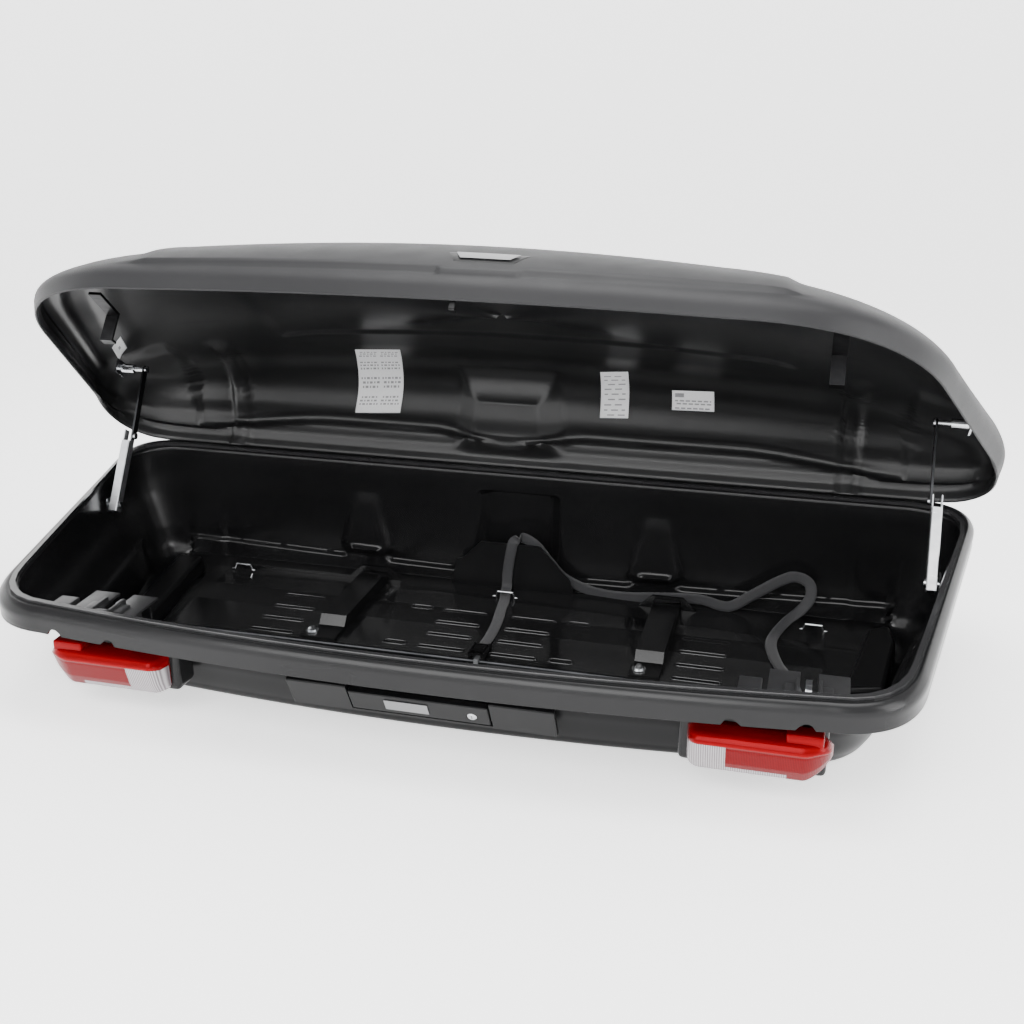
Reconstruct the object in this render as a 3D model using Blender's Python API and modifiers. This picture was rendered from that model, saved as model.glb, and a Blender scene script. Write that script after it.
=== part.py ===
"""Rear-mounted cargo box with a hinged lid held open by two folding stays.

Metres, +Z up, +X to the right, +Y away from the tail lamps and towards the lid's hinge.
The origin is on the flat underside of the tub, on the box's plane of symmetry.
The lid is modelled shut, in the hinge's own frame, and then turned open with its parent empty.
"""

import math

import bmesh
import bpy
from mathutils import Matrix, Vector

# Driving dimensions

WALL = 0.004
GAP = 0.0003

RIM_HEIGHT = 0.193
RIM_SLOPE = 0.0775
RIM_WIDTH = 0.024
RIM_DROP = 0.034
RIM_FRONT_Y = -0.315
RIM_REAR_Y = 0.299
RIM_FRONT_X = 0.612
RIM_REAR_X = 0.730
FRONT_BOW = 0.041

HINGE_Y = 0.362
HINGE_Z = 0.213
LID_OPEN = math.radians(37)
LID_FRONT_Y = -0.366
LID_FRONT_X = 0.582
LID_FRONT_BOW = 0.036
LID_REAR_Y = 0.345
LID_REAR_X = 0.805
LID_LIFT = 0.0065
LID_REAR_DROP = 0.024
CROWN_FRONT = 0.070
CROWN_REAR = 0.030
CROWN_REACH = 0.75

TRAY_TOP = 0.0084
TRAY_FRONT_Y = -0.140
TRAY_REAR_Y = 0.262
TRAY_HALF = 0.530

BARS = (("left", -0.276, -0.253), ("right", 0.259, 0.270))
BAR_WIDTH = 0.044
BOLT_Y = 0.024
BOLT_HOLE = 0.0048

STAY_X = 0.672
STAY_FOOT = (0.1155, 0.163)
STAY_KNEE = (0.1795, 0.269)
STAY_HEAD = (0.2373, 0.374)
HEAD_REACH = 0.0400

PANEL_CENTRE = (0.0, -0.249, 0.060)
PANEL_TILT = math.radians(118.4)
HANDLE_PIVOT = (0.0, -0.019, -0.006)
LOCK_X = 0.075

SHAFT_Y = -0.222
SHAFT_Z = 0.125
LATCHES = (("left", -0.461), ("right", 0.509))

LAMP_X = 0.455
LAMP_WIDTH = 0.180
LAMP_Y = -0.262
LAMP_BOTTOM = 0.042
LAMP_TOP = 0.102

STRAP_WIDTH = 0.018
STRAP_THICKNESS = 0.0016
STRAP_ROUTE = [
    ((0.006, 0.048, 0.0105), (1, 0, 0)),
    ((0.007, 0.080, 0.0105), (1, 0, 0)),
    ((0.005, 0.130, 0.0105), (1, 0, 0)),
    ((-0.002, 0.185, 0.0105), (1, 0, 0)),
    ((-0.007, 0.228, 0.0112), (1, 0, 0)),
    ((-0.011, 0.250, 0.0155), (1, 0, 0)),
    ((-0.012, 0.2625, 0.0215), (1, 0, 0)),
    ((-0.012, 0.2655, 0.040), (1, 0, 0)),
    ((-0.009, 0.2660, 0.065), (1, 0, 0)),
    ((-0.005, 0.2660, 0.088), (1, 0, 0.1)),
    ((-0.001, 0.2675, 0.1030), (1, 0.1, 0.1)),
    ((0.013, 0.2755, 0.1090), (0.8, 0.3, 0.4)),
    ((0.036, 0.2800, 0.0950), (0.5, 0, 0.85)),
    ((0.058, 0.2815, 0.0680), (0.65, 0, 0.75)),
    ((0.083, 0.2810, 0.0420), (0.55, 0, 0.85)),
    ((0.115, 0.2790, 0.0270), (0.3, 0, 1)),
    ((0.155, 0.2740, 0.0200), (0, 0, 1)),
    ((0.205, 0.2700, 0.0210), (0, 0, 1)),
    ((0.258, 0.2690, 0.0270), (0, 0, 1)),
    ((0.322, 0.2710, 0.0300), (0, 0, 1)),
    ((0.370, 0.2690, 0.0230), (0.2, 0.1, 1)),
    ((0.408, 0.2680, 0.0480), (-0.4, 0.1, 1)),
    ((0.446, 0.2690, 0.0750), (-0.3, 0.1, 1)),
    ((0.474, 0.2700, 0.0880), (0, 0.1, 1)),
    ((0.498, 0.2670, 0.0810), (0.8, 0, 0.6)),
    ((0.503, 0.2610, 0.0600), (1, -0.2, 0)),
    ((0.491, 0.2520, 0.0400), (1, -0.3, -0.2)),
    ((0.468, 0.2320, 0.0240), (0.9, -0.6, -0.2)),
    ((0.452, 0.2020, 0.0125), (1, -0.3, 0)),
    ((0.4485, 0.1633, 0.0105), (1, 0, 0)),
    ((0.461, 0.106, 0.0105), (1, 0.25, 0)),
    ((0.478, 0.066, 0.0105), (1, 0.4, 0)),
    ((0.492, 0.025, 0.0105), (1, 0.2, 0)),
    ((0.497, -0.030, 0.0105), (1, 0, 0)),
]

SIDES = (("left", -1), ("right", 1))

# Scene, collections and materials


def clear_scene():
    for old in list(bpy.data.objects):
        bpy.data.objects.remove(old, do_unlink=True)


def new_collection(name):
    made = bpy.data.collections.new(name)
    bpy.context.scene.collection.children.link(made)
    return made


def material(name, colour, roughness, metallic=0.0, alpha=1.0):
    made = bpy.data.materials.new(name)
    made.use_nodes = True
    shader = made.node_tree.nodes["Principled BSDF"]
    shader.inputs["Base Color"].default_value = (*colour, 1.0)
    shader.inputs["Roughness"].default_value = roughness
    shader.inputs["Metallic"].default_value = metallic
    shader.inputs["Alpha"].default_value = alpha
    made.diffuse_color = (*colour, alpha)
    return made


def make_materials():
    return {
        "tub": material("tub_abs", (0.012, 0.012, 0.013), 0.24),
        "lid": material("lid_abs", (0.030, 0.030, 0.032), 0.52),
        "trim": material("trim_plastic", (0.018, 0.018, 0.020), 0.40),
        "seal": material("seal_rubber", (0.020, 0.020, 0.020), 0.60),
        "tray": material("tray_plastic", (0.016, 0.016, 0.017), 0.30),
        "zinc": material("zinc_plated_steel", (0.72, 0.73, 0.74), 0.32, 1.0),
        "dark_steel": material("dark_steel", (0.10, 0.10, 0.11), 0.35, 1.0),
        "red": material("red_lens", (0.80, 0.010, 0.015), 0.12),
        "clear": material("clear_lens", (0.85, 0.82, 0.82), 0.10),
        "grey": material("grey_plate", (0.45, 0.45, 0.46), 0.35),
        "paper": material("label_paper", (0.88, 0.88, 0.88), 0.55),
        "webbing": material("webbing", (0.012, 0.012, 0.013), 0.80),
    }


# General shapes


def link_mesh(name, mesh, slot, parent=None, smooth=True):
    made = bpy.data.objects.new(name, mesh)
    PARTS.objects.link(made)
    mesh.materials.clear()
    mesh.materials.append(MATERIALS[slot])
    made.parent = parent
    if smooth:
        mesh.shade_smooth()
        mesh.set_sharp_from_angle(angle=math.radians(35))
    return made


def empty(name, location, parent=None, tilt=0.0):
    made = bpy.data.objects.new(name, None)
    PARTS.objects.link(made)
    made.location = location
    made.rotation_euler.x = tilt
    made.parent = parent
    return made


def box_mesh(low, high, bevel=0.0):
    """A box between two corners, its edges rounded by bevel."""
    size = [b - a for a, b in zip(low, high)]
    middle = [(a + b) / 2 for a, b in zip(low, high)]
    bm = bmesh.new()
    bmesh.ops.create_cube(bm, size=1.0)
    bmesh.ops.scale(bm, vec=size, verts=bm.verts)
    bmesh.ops.translate(bm, vec=middle, verts=bm.verts)
    if bevel:
        bmesh.ops.bevel(bm, geom=bm.edges[:], offset=bevel, segments=1, affect="EDGES")
    mesh = bpy.data.meshes.new("box")
    bm.to_mesh(mesh)
    bm.free()
    return mesh


def rod_mesh(start, end, radius, sides=12):
    """A cylinder from start to end."""
    a, b = Vector(start), Vector(end)
    turn = (b - a).to_track_quat("Z", "Y").to_matrix().to_4x4()
    bm = bmesh.new()
    bmesh.ops.create_cone(
        bm, cap_ends=True, segments=sides, radius1=radius, radius2=radius,
        depth=(b - a).length, matrix=Matrix.Translation((a + b) / 2) @ turn,
    )
    mesh = bpy.data.meshes.new("rod")
    bm.to_mesh(mesh)
    bm.free()
    return mesh


def plate_mesh(points, thickness, matrix):
    """A flat outline of points, filled and thickened about its own plane, then placed by matrix."""
    curve = bpy.data.curves.new("outline", "CURVE")
    curve.dimensions = "2D"
    curve.fill_mode = "BOTH"
    curve.extrude = thickness / 2
    spline = curve.splines.new("POLY")
    spline.points.add(len(points) - 1)
    for point, (u, v) in zip(spline.points, points):
        point.co = (u, v, 0, 1)
    spline.use_cyclic_u = True
    guide = bpy.data.objects.new("outline", curve)
    CUTTERS.objects.link(guide)
    mesh = solid_copy(guide)
    mesh.transform(matrix)
    return mesh


def solid_copy(guide):
    """The evaluated mesh of a helper object, closed and facing out. The helper is removed."""
    graph = bpy.context.evaluated_depsgraph_get()
    mesh = bpy.data.meshes.new_from_object(guide.evaluated_get(graph))
    bpy.data.objects.remove(guide, do_unlink=True)
    bm = bmesh.new()
    bm.from_mesh(mesh)
    bmesh.ops.remove_doubles(bm, verts=bm.verts, dist=1e-6)
    bmesh.ops.recalc_face_normals(bm, faces=bm.faces)
    bm.to_mesh(mesh)
    bm.free()
    return mesh


def side_profile(points, x_low, x_high):
    """A (Y, Z) outline run along X between two planes."""
    to_world = Matrix(((0, 0, 1, (x_low + x_high) / 2), (1, 0, 0, 0), (0, 1, 0, 0), (0, 0, 0, 1)))
    return plate_mesh(points, x_high - x_low, to_world)


def front_profile(points, y_low, y_high):
    """An (X, Z) outline run along Y between two planes."""
    to_world = Matrix(((1, 0, 0, 0), (0, 0, -1, (y_low + y_high) / 2), (0, 1, 0, 0), (0, 0, 0, 1)))
    return plate_mesh(points, y_high - y_low, to_world)


def join_mesh(meshes):
    """Several meshes as one, for a cutter made of many pieces."""
    bm = bmesh.new()
    for mesh in meshes:
        bm.from_mesh(mesh)
    joined = bpy.data.meshes.new("joined")
    bm.to_mesh(joined)
    bm.free()
    return joined


def boolean(target, mesh, operation="DIFFERENCE"):
    """Cuts mesh from target, or joins it on. The cutter stays in the cutters' collection."""
    cutter = bpy.data.objects.new("cut_" + target.name, mesh)
    CUTTERS.objects.link(cutter)
    cutter.parent = target.parent
    cutter.hide_render = True
    cutter.display_type = "WIRE"
    modifier = target.modifiers.new(operation.lower(), "BOOLEAN")
    modifier.operation = operation
    modifier.object = cutter
    return cutter


def bezier(start, control, end, steps):
    """Points of a quadratic curve, without its first."""
    found = []
    for i in range(1, steps + 1):
        t = i / steps
        a, b, c = (1 - t) ** 2, 2 * t * (1 - t), t * t
        found.append(tuple(a * p + b * q + c * r for p, q, r in zip(start, control, end)))
    return found


def plan_outline(front_y, front_x, rear_y, rear_x, bow, front_round, rear_round):
    """A closed plan outline: bowed front, sides that flare to the rear, four rounded corners."""
    slope = (rear_x - front_x) / (rear_y - front_y - bow)
    x_turn = front_x - front_round
    points = [
        (front_x * s, front_y + bow * s * s)
        for s in [x_turn / front_x * i / 6 for i in range(7)]
    ]
    y_turn = front_y + bow + front_round
    corner = (front_x, front_y + bow - 0.1 * front_round)
    points += bezier(points[-1], corner, (front_x + slope * front_round, y_turn), 6)
    y_end = rear_y - rear_round
    for i in range(1, 5):
        y = y_turn + (y_end - y_turn) * i / 4
        points.append((front_x + slope * (y - front_y - bow), y))
    points += bezier(points[-1], (rear_x, rear_y), (rear_x - rear_round, rear_y), 4)
    x_end = rear_x - rear_round
    points += [(x_end * (1 - i / 5), rear_y) for i in range(1, 6)]
    mirrored = [(-x, y) for x, y in reversed(points[1:-1])]
    return points + mirrored


def loft(name, rings, cap_last=True):
    """An open surface through rings of points of equal count."""
    bm = bmesh.new()
    rows = [[bm.verts.new(point) for point in ring] for ring in rings]
    for low, high in zip(rows, rows[1:]):
        for i in range(len(low)):
            j = (i + 1) % len(low)
            bm.faces.new((low[i], low[j], high[j], high[i]))
    if cap_last:
        bm.faces.new(rows[-1])
    mesh = bpy.data.meshes.new(name)
    bm.to_mesh(mesh)
    bm.free()
    return mesh


def solidify(target, thickness, offset):
    modifier = target.modifiers.new("wall", "SOLIDIFY")
    modifier.thickness = thickness
    modifier.offset = offset
    modifier.use_even_offset = True
    return modifier


# The tub


def rim_z(y):
    """Height of the plane that the tub's rim and the shut lid's edge lie in."""
    return RIM_HEIGHT + RIM_SLOPE * y


def tub_ring(height, front, side, rear, corner):
    """A ring of the tub's wall: its insets from the rim's inner edge, at a height below the rim plane."""
    outline = plan_outline(
        RIM_FRONT_Y + front, RIM_FRONT_X - side, RIM_REAR_Y - rear, RIM_REAR_X - side,
        FRONT_BOW, corner, 0.100,
    )
    share = height / RIM_HEIGHT
    return [(x, y, height + RIM_SLOPE * y * share ** 2) for x, y in outline]


def make_tub():
    lip = tub_ring(RIM_HEIGHT, -RIM_WIDTH, -RIM_WIDTH, -RIM_WIDTH - 0.008, 0.10)
    rings = [
        [(x, y, z - RIM_DROP) for x, y, z in lip],
        [(x, y, z - 0.010) for x, y, z in lip],
        tub_ring(RIM_HEIGHT, -0.016, -0.016, -RIM_WIDTH, 0.095),
        tub_ring(RIM_HEIGHT, 0, 0, 0, 0.085),
        tub_ring(0.155, 0.012, 0.002, 0.001, 0.085),
        tub_ring(0.130, 0.030, 0.006, 0.002, 0.085),
        tub_ring(0.108, 0.066, 0.012, 0.002, 0.085),
        tub_ring(0.022, 0.108, 0.036, 0.004, 0.075),
        tub_ring(0.008, 0.116, 0.044, 0.008, 0.075),
        tub_ring(WALL, 0.126, 0.054, 0.016, 0.073),
    ]
    rings[-1] = [(x, y, WALL) for x, y, z in rings[-1]]
    shell = link_mesh("base_shell", loft("base_shell", rings), "tub")
    solidify(shell, WALL, -1.0)
    boolean(shell, join_mesh(bolt_holes()))
    return shell


def bolt_holes():
    """Cutters for the clamp bars' bolts, through the tub's floor and the tray."""
    return [rod_mesh((x, BOLT_Y, -0.01), (x, BOLT_Y, 0.02), BOLT_HOLE) for _, x, _ in BARS]


def make_rim_seal():
    """A soft strip all round the rim, just outside its inner edge."""
    section = [(-0.003, GAP), (-0.003, 0.0045), (-0.009, 0.0045), (-0.009, GAP)]
    rings = []
    for inset, rise in section:
        ring = tub_ring(RIM_HEIGHT, inset, inset, inset, 0.085)
        rings.append([(x, y, z + rise) for x, y, z in ring])
    mesh = loft("rim_seal", rings + rings[:1], cap_last=False)
    bm = bmesh.new()
    bm.from_mesh(mesh)
    bmesh.ops.remove_doubles(bm, verts=bm.verts, dist=1e-6)
    bmesh.ops.recalc_face_normals(bm, faces=bm.faces)
    bm.to_mesh(mesh)
    bm.free()
    link_mesh("rim_seal", mesh, "seal")


# The floor


def slot_mesh(x_low, x_high, y, width=0.008):
    """A round-ended slot along X through the tray."""
    radius = width / 2
    points = []
    for centre, first in ((x_high, -90), (x_low, 90)):
        inner = centre - radius if first < 0 else centre + radius
        for i in range(5):
            angle = math.radians(first + 45 * i)
            points.append((inner + radius * math.cos(angle), y + radius * math.sin(angle)))
    return plate_mesh(points, 0.03, Matrix.Translation((0, 0, TRAY_TOP)))


def make_tray():
    """A moulded plate on the tub's floor, with rows of slots and two pairs of ovals."""
    outline = [
        (-TRAY_HALF, TRAY_REAR_Y), (-TRAY_HALF, -0.060), (-TRAY_HALF + 0.050, TRAY_FRONT_Y),
        (TRAY_HALF - 0.050, TRAY_FRONT_Y), (TRAY_HALF, -0.060), (TRAY_HALF, TRAY_REAR_Y),
    ]
    bottom = WALL + GAP
    plate = plate_mesh(outline, TRAY_TOP - bottom, Matrix.Translation((0, 0, (TRAY_TOP + bottom) / 2)))
    tray = link_mesh("floor_tray", plate, "tray", smooth=False)
    cuts = []
    for row in range(4):
        y = 0.1575 - 0.0459 * row
        cuts += [slot_mesh(-0.383, -0.310, y), slot_mesh(0.310, 0.383, y)]
        cuts += [slot_mesh(-0.0966, -0.022, y + 0.008), slot_mesh(0.022, 0.0966, y + 0.008)]
    for y in (0.168, 0.030):
        cuts += [slot_mesh(-0.155, -0.118, y, 0.012), slot_mesh(0.118, 0.155, y, 0.012)]
    boolean(tray, join_mesh(cuts + bolt_holes()))


def hump(centre):
    """The part of the rear rail's top edge that steps over a clamp bar."""
    return [
        (centre - 0.050, 0.013), (centre - 0.026, 0.035),
        (centre + 0.026, 0.035), (centre + 0.050, 0.013),
    ]


def make_rear_rail():
    left, right = [centre for _, _, centre in BARS]
    bottom = TRAY_TOP + GAP
    arch = 0.0295
    half = BAR_WIDTH / 2 + 0.0015
    points = [(-TRAY_HALF, bottom), (-TRAY_HALF, 0.013)] + hump(left) + hump(right)
    points += [(TRAY_HALF, 0.013), (TRAY_HALF, bottom)]
    for centre in (right, left):
        points += [(centre + half, bottom), (centre + half, arch)]
        points += [(centre - half, arch), (centre - half, bottom)]
    link_mesh("tray_rear_rail", front_profile(points, 0.2545, 0.2600), "tray", smooth=False)


def make_clamp_bars():
    bottom = TRAY_TOP + GAP
    side = [
        (0.004, bottom), (0.250, bottom), (0.250, 0.0255), (0.240, 0.0285), (0.062, 0.0285),
        (0.050, 0.014), (0.004, 0.014),
    ]
    for name, bolt_x, centre in BARS:
        mesh = side_profile(side, centre - BAR_WIDTH / 2, centre + BAR_WIDTH / 2)
        bar = link_mesh("clamp_bar_" + name, mesh, "trim", smooth=False)
        foot = box_mesh((bolt_x - 0.014, 0.004, bottom), (centre, 0.042, 0.014))
        boolean(bar, foot, "UNION")
        boolean(bar, rod_mesh((bolt_x, BOLT_Y, 0), (bolt_x, BOLT_Y, 0.05), BOLT_HOLE))
        make_bolt("bar_bolt_" + name, bolt_x)


def make_bolt(name, x):
    """A shank through the bar's foot, the tray and the tub's floor, under a round head with a washer."""
    top = 0.014 + GAP
    profile = [
        (0, top + 0.008), (0.004, top + 0.008), (0.0075, top + 0.005), (0.0075, top + 0.0015),
        (0.011, top + 0.0015), (0.011, top), (0.004, top), (0.004, 0.0005), (0, 0.0005),
    ]
    link_mesh(name, turned_mesh(profile, 16, Matrix.Translation((x, BOLT_Y, 0))), "zinc")


def turned_mesh(profile, steps, matrix):
    """A profile of (radius, height) points, from the top down its outer side, turned about +Z."""
    bm = bmesh.new()
    chain = [bm.verts.new((radius, 0, height)) for radius, height in profile]
    for a, b in zip(chain, chain[1:]):
        bm.edges.new((a, b))
    mesh = bpy.data.meshes.new("profile")
    bm.to_mesh(mesh)
    bm.free()
    guide = bpy.data.objects.new("profile", mesh)
    CUTTERS.objects.link(guide)
    screw = guide.modifiers.new("turn", "SCREW")
    screw.steps = steps
    screw.render_steps = steps
    screw.use_merge_vertices = True
    screw.merge_threshold = 0.00001
    made = solid_copy(guide)
    made.transform(matrix)
    return made


def make_anchor():
    """The upright plate behind the tray that the luggage straps are looped through."""
    bottom = WALL + GAP
    points = [
        (-0.116, bottom), (0.110, bottom), (0.098, 0.040), (0.045, 0.098),
        (-0.060, 0.098), (-0.094, 0.063), (-0.106, 0.060),
    ]
    link_mesh("strap_anchor_plate", front_profile(points, 0.2680, 0.2715), "tray", smooth=False)


def make_clips():
    """Small wire arches on the tray, where a strap's hook goes."""
    for name, x, y in (("left", -0.503, 0.238), ("centre", -0.0085, 0.238), ("right", 0.512, 0.238)):
        z = TRAY_TOP + GAP + 0.002
        route = [(x - 0.022, y, z), (x - 0.017, y, z + 0.001), (x - 0.013, y, z + 0.010)]
        route += [(x + 0.013, y, z + 0.010), (x + 0.017, y, z + 0.001), (x + 0.022, y, z)]
        link_mesh("strap_clip_" + name, tube_mesh(route, 0.002), "zinc")


def tube_mesh(route, radius, resolution=2):
    curve = bpy.data.curves.new("tube", "CURVE")
    curve.dimensions = "3D"
    curve.bevel_depth = radius
    curve.bevel_resolution = resolution
    curve.use_fill_caps = True
    spline = curve.splines.new("POLY")
    spline.points.add(len(route) - 1)
    for point, place in zip(spline.points, route):
        point.co = (*place, 1)
    guide = bpy.data.objects.new("tube", curve)
    CUTTERS.objects.link(guide)
    return solid_copy(guide)


# The luggage strap


def smooth_route(route, steps):
    """Points and width directions on a smooth curve through a route's own."""
    rows = [(*place, *width) for place, width in route]
    rows = [rows[0]] + rows + [rows[-1]]
    found = []
    for a, b, c, d in zip(rows, rows[1:], rows[2:], rows[3:]):
        for i in range(steps):
            t = i / steps
            found.append([
                0.5 * (2 * q + (r - p) * t + (2 * p - 5 * q + 4 * r - s) * t * t
                       + (3 * q - p - 3 * r + s) * t ** 3)
                for p, q, r, s in zip(a, b, c, d)
            ])
    found.append(list(rows[-1]))
    return [(Vector(row[:3]), Vector(row[3:])) for row in found]


def make_strap():
    """A flat webbing strap laid loose over the anchor plate, with a buckle on its front end."""
    rows = smooth_route(STRAP_ROUTE, 2)
    places = [place for place, _ in rows]
    rings = []
    for i, (place, width) in enumerate(rows):
        ahead = (places[min(i + 1, len(rows) - 1)] - places[max(i - 1, 0)]).normalized()
        across = (width - ahead * width.dot(ahead)).normalized()
        half_wide = across * STRAP_WIDTH / 2
        half_thick = ahead.cross(across) * STRAP_THICKNESS / 2
        rings.append([
            place + half_wide + half_thick, place + half_wide - half_thick,
            place - half_wide - half_thick, place - half_wide + half_thick,
        ])
    mesh = loft("luggage_strap", rings)
    bm = bmesh.new()
    bm.from_mesh(mesh)
    bm.verts.ensure_lookup_table()
    bm.faces.new(bm.verts[i] for i in range(4))
    bmesh.ops.recalc_face_normals(bm, faces=bm.faces)
    bm.to_mesh(mesh)
    bm.free()
    link_mesh("luggage_strap", mesh, "webbing", smooth=False)
    bottom = TRAY_TOP + GAP
    buckle = box_mesh((-0.008, 0.008, bottom), (0.020, 0.0475, bottom + 0.009), 0.0012)
    link_mesh("strap_buckle", buckle, "trim", smooth=False)


# Latch, handle and lock


def make_latch():
    frame = empty("latch_frame", PANEL_CENTRE, tilt=PANEL_TILT)
    outer = box_mesh((-0.19, -0.031, -0.010), (0.19, 0.027, 0), 0.0015)
    panel = link_mesh("latch_panel", outer, "trim", frame)
    boolean(panel, box_mesh((-0.1015, -0.0245, -0.02), (0.1015, 0.05, 0.01)))
    pivot = empty("handle_axis", HANDLE_PIVOT, frame)
    make_handle(pivot)
    make_latch_shaft()


def make_handle(pivot):
    y, z = -HANDLE_PIVOT[1], -HANDLE_PIVOT[2]
    low, high = (-0.099, y - 0.020, z - 0.0085), (0.099, y + 0.020, z + 0.002)
    handle = link_mesh("release_handle", box_mesh(low, high, 0.0012), "trim", pivot)
    boolean(handle, rod_mesh((LOCK_X, y - 0.004, -0.02), (LOCK_X, y - 0.004, 0.02), 0.0078))
    plate = box_mesh((-0.048, y - 0.010, z + 0.002 + GAP), (0.014, y + 0.011, z + 0.0035), 0.0004)
    link_mesh("handle_plate", plate, "grey", pivot)
    lock = empty("lock_axis", (LOCK_X, y - 0.004, z), pivot)
    profile = [(0, 0.0028), (0.0055, 0.0028), (0.0070, 0.0016), (0.0070, -0.0080), (0, -0.0080)]
    cylinder = link_mesh("lock_cylinder", turned_mesh(profile, 20, Matrix()), "zinc", lock)
    boolean(cylinder, box_mesh((-0.0008, -0.004, 0.0005), (0.0008, 0.004, 0.005)))


def make_latch_shaft():
    axis = empty("latch_axis", (0, SHAFT_Y, SHAFT_Z))
    link_mesh("latch_shaft", rod_mesh((-0.500, 0, 0), (0.545, 0, 0), 0.004), "dark_steel", axis)
    claw = [
        (-0.009, -0.003), (-0.005, -0.009), (0.005, -0.009), (0.009, -0.003), (0.009, 0.010),
        (0.011, 0.026), (-0.004, 0.0265), (-0.005, 0.0215), (0.001, 0.018), (-0.007, 0.008),
    ]
    for name, x in LATCHES:
        hook = link_mesh("latch_claw_" + name, side_profile(claw, x - 0.004, x + 0.004), "zinc", axis)
        boolean(hook, rod_mesh((x - 0.01, 0, 0), (x + 0.01, 0, 0), 0.0045))
        make_latch_plate(name, x)
    lever = [
        (-0.008, -0.002), (-0.004, -0.040), (0.004, -0.040),
        (0.008, -0.002), (0.006, 0.007), (-0.006, 0.007),
    ]
    arm = link_mesh("latch_lever", side_profile(lever, LOCK_X - 0.003, LOCK_X + 0.003), "zinc", axis)
    boolean(arm, rod_mesh((LOCK_X - 0.01, 0, 0), (LOCK_X + 0.01, 0, 0), 0.0045))


def make_latch_plate(name, x):
    """A plate on the front wall that carries the shaft's end and guides the lid's striker."""
    low, high = (x - 0.050, -0.270, 0.152), (x + 0.050, -0.200, 0.1555)
    plate = link_mesh("latch_plate_" + name, box_mesh(low, high), "trim", smooth=False)
    boolean(plate, box_mesh((x - 0.011, -0.2625, 0.14), (x + 0.011, -0.192, 0.17)))
    for offset in (-0.024, 0.020):
        ear = box_mesh((x + offset, -0.238, 0.114), (x + offset + 0.004, -0.206, 0.154))
        boolean(plate, ear, "UNION")
        start, end = (x + offset - 0.01, SHAFT_Y, SHAFT_Z), (x + offset + 0.014, SHAFT_Y, SHAFT_Z)
        boolean(plate, rod_mesh(start, end, 0.0045))


# Tail lamps


def make_lamps():
    for name, sign in SIDES:
        inner, outer = LAMP_X - LAMP_WIDTH / 2, LAMP_X + LAMP_WIDTH / 2
        middle = inner + 0.055
        back = [
            (LAMP_Y, LAMP_BOTTOM + 0.004), (LAMP_Y, LAMP_TOP), (-0.247, LAMP_TOP),
            (-0.216, LAMP_BOTTOM + 0.004),
        ]
        xs = sorted((sign * (inner - 0.012), sign * (outer - 0.006)))
        link_mesh("lamp_housing_" + name, side_profile(back, *xs), "trim", smooth=False)
        front = [
            (LAMP_Y - GAP, LAMP_BOTTOM), (LAMP_Y - 0.020, LAMP_BOTTOM + 0.004),
            (LAMP_Y - 0.034, LAMP_TOP - 0.022), (LAMP_Y - 0.030, LAMP_TOP - 0.006),
            (LAMP_Y - 0.012, LAMP_TOP + 0.004), (LAMP_Y - GAP, LAMP_TOP + 0.004),
        ]
        xs = sorted((sign * (middle + GAP), sign * outer))
        link_mesh("lamp_red_lens_" + name, side_profile(front, *xs), "red", smooth=False)
        xs = sorted((sign * inner, sign * middle))
        link_mesh("lamp_clear_lens_" + name, side_profile(front, *xs), "clear", smooth=False)


# The lid


def lid_ring(front, side, rear, front_z, rear_z, weight):
    """A ring of the shut lid: insets from its edge, heights at front and rear, share of the crown."""
    outline = plan_outline(
        LID_FRONT_Y + front, LID_FRONT_X - side, LID_REAR_Y - rear, LID_REAR_X - side,
        LID_FRONT_BOW, 0.20 - 0.2 * side, 0.17 - 0.2 * side,
    )
    points = []
    for x, y in outline:
        share = (y - LID_FRONT_Y) / (LID_REAR_Y - LID_FRONT_Y)
        crown = CROWN_FRONT + (CROWN_REAR - CROWN_FRONT) * share
        z = front_z + (rear_z - front_z) * share - crown * weight * (x / CROWN_REACH) ** 2
        points.append((x, y - HINGE_Y, z - HINGE_Z))
    return points


def rear_drop(point):
    """A point of the lid's edge, lowered along the rear so that it hangs behind the tub's rim."""
    x, y, z = point
    toward_rear = min(max((y + HINGE_Y - 0.17) / 0.16, 0), 1)
    return (x, y, z - LID_REAR_DROP * toward_rear)


def toward_centre(ring, share, rise):
    """A ring drawn in towards the lid's middle and raised."""
    middle = Vector((0, sum(p[1] for p in ring) / len(ring), 0))
    found = []
    for x, y, z in ring:
        drop = CROWN_REAR * (x / CROWN_REACH) ** 2 * (1 - share * share)
        found.append((x * share, middle.y + (y - middle.y) * share, z + drop + rise))
    return found


def make_lid():
    front, rear = rim_z(LID_FRONT_Y) + LID_LIFT, rim_z(LID_REAR_Y) + LID_LIFT
    rings = [
        [rear_drop(point) for point in lid_ring(0, 0, 0, front, rear, 0)],
        lid_ring(0.004, -0.009, 0.004, front + 0.026, rear + 0.022, 0),
        lid_ring(0.038, 0.000, 0.028, front + 0.068, rear + 0.062, 0.3),
        lid_ring(0.092, 0.022, 0.050, front + 0.110, rear + 0.094, 0.6),
        lid_ring(0.158, 0.060, 0.078, front + 0.145, rear + 0.116, 0.9),
        lid_ring(0.220, 0.114, 0.110, front + 0.168, rear + 0.127, 1.0),
    ]
    rings.append(toward_centre(rings[-1], 0.7, 0.004))
    rings.append(toward_centre(rings[-2], 0.35, 0.006))
    frame = empty("lid_axis", (0, HINGE_Y, HINGE_Z), tilt=-LID_OPEN)
    shell = link_mesh("lid_shell", loft("lid_shell", rings), "lid", frame)
    solidify(shell, WALL, -1.0)
    return frame


# Lid furniture, in the hinge's frame with the lid shut


def from_hinge(points):
    """Shut-lid (Y, Z) points as the hinge's frame has them."""
    return [(y - HINGE_Y, z - HINGE_Z) for y, z in points]


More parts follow.
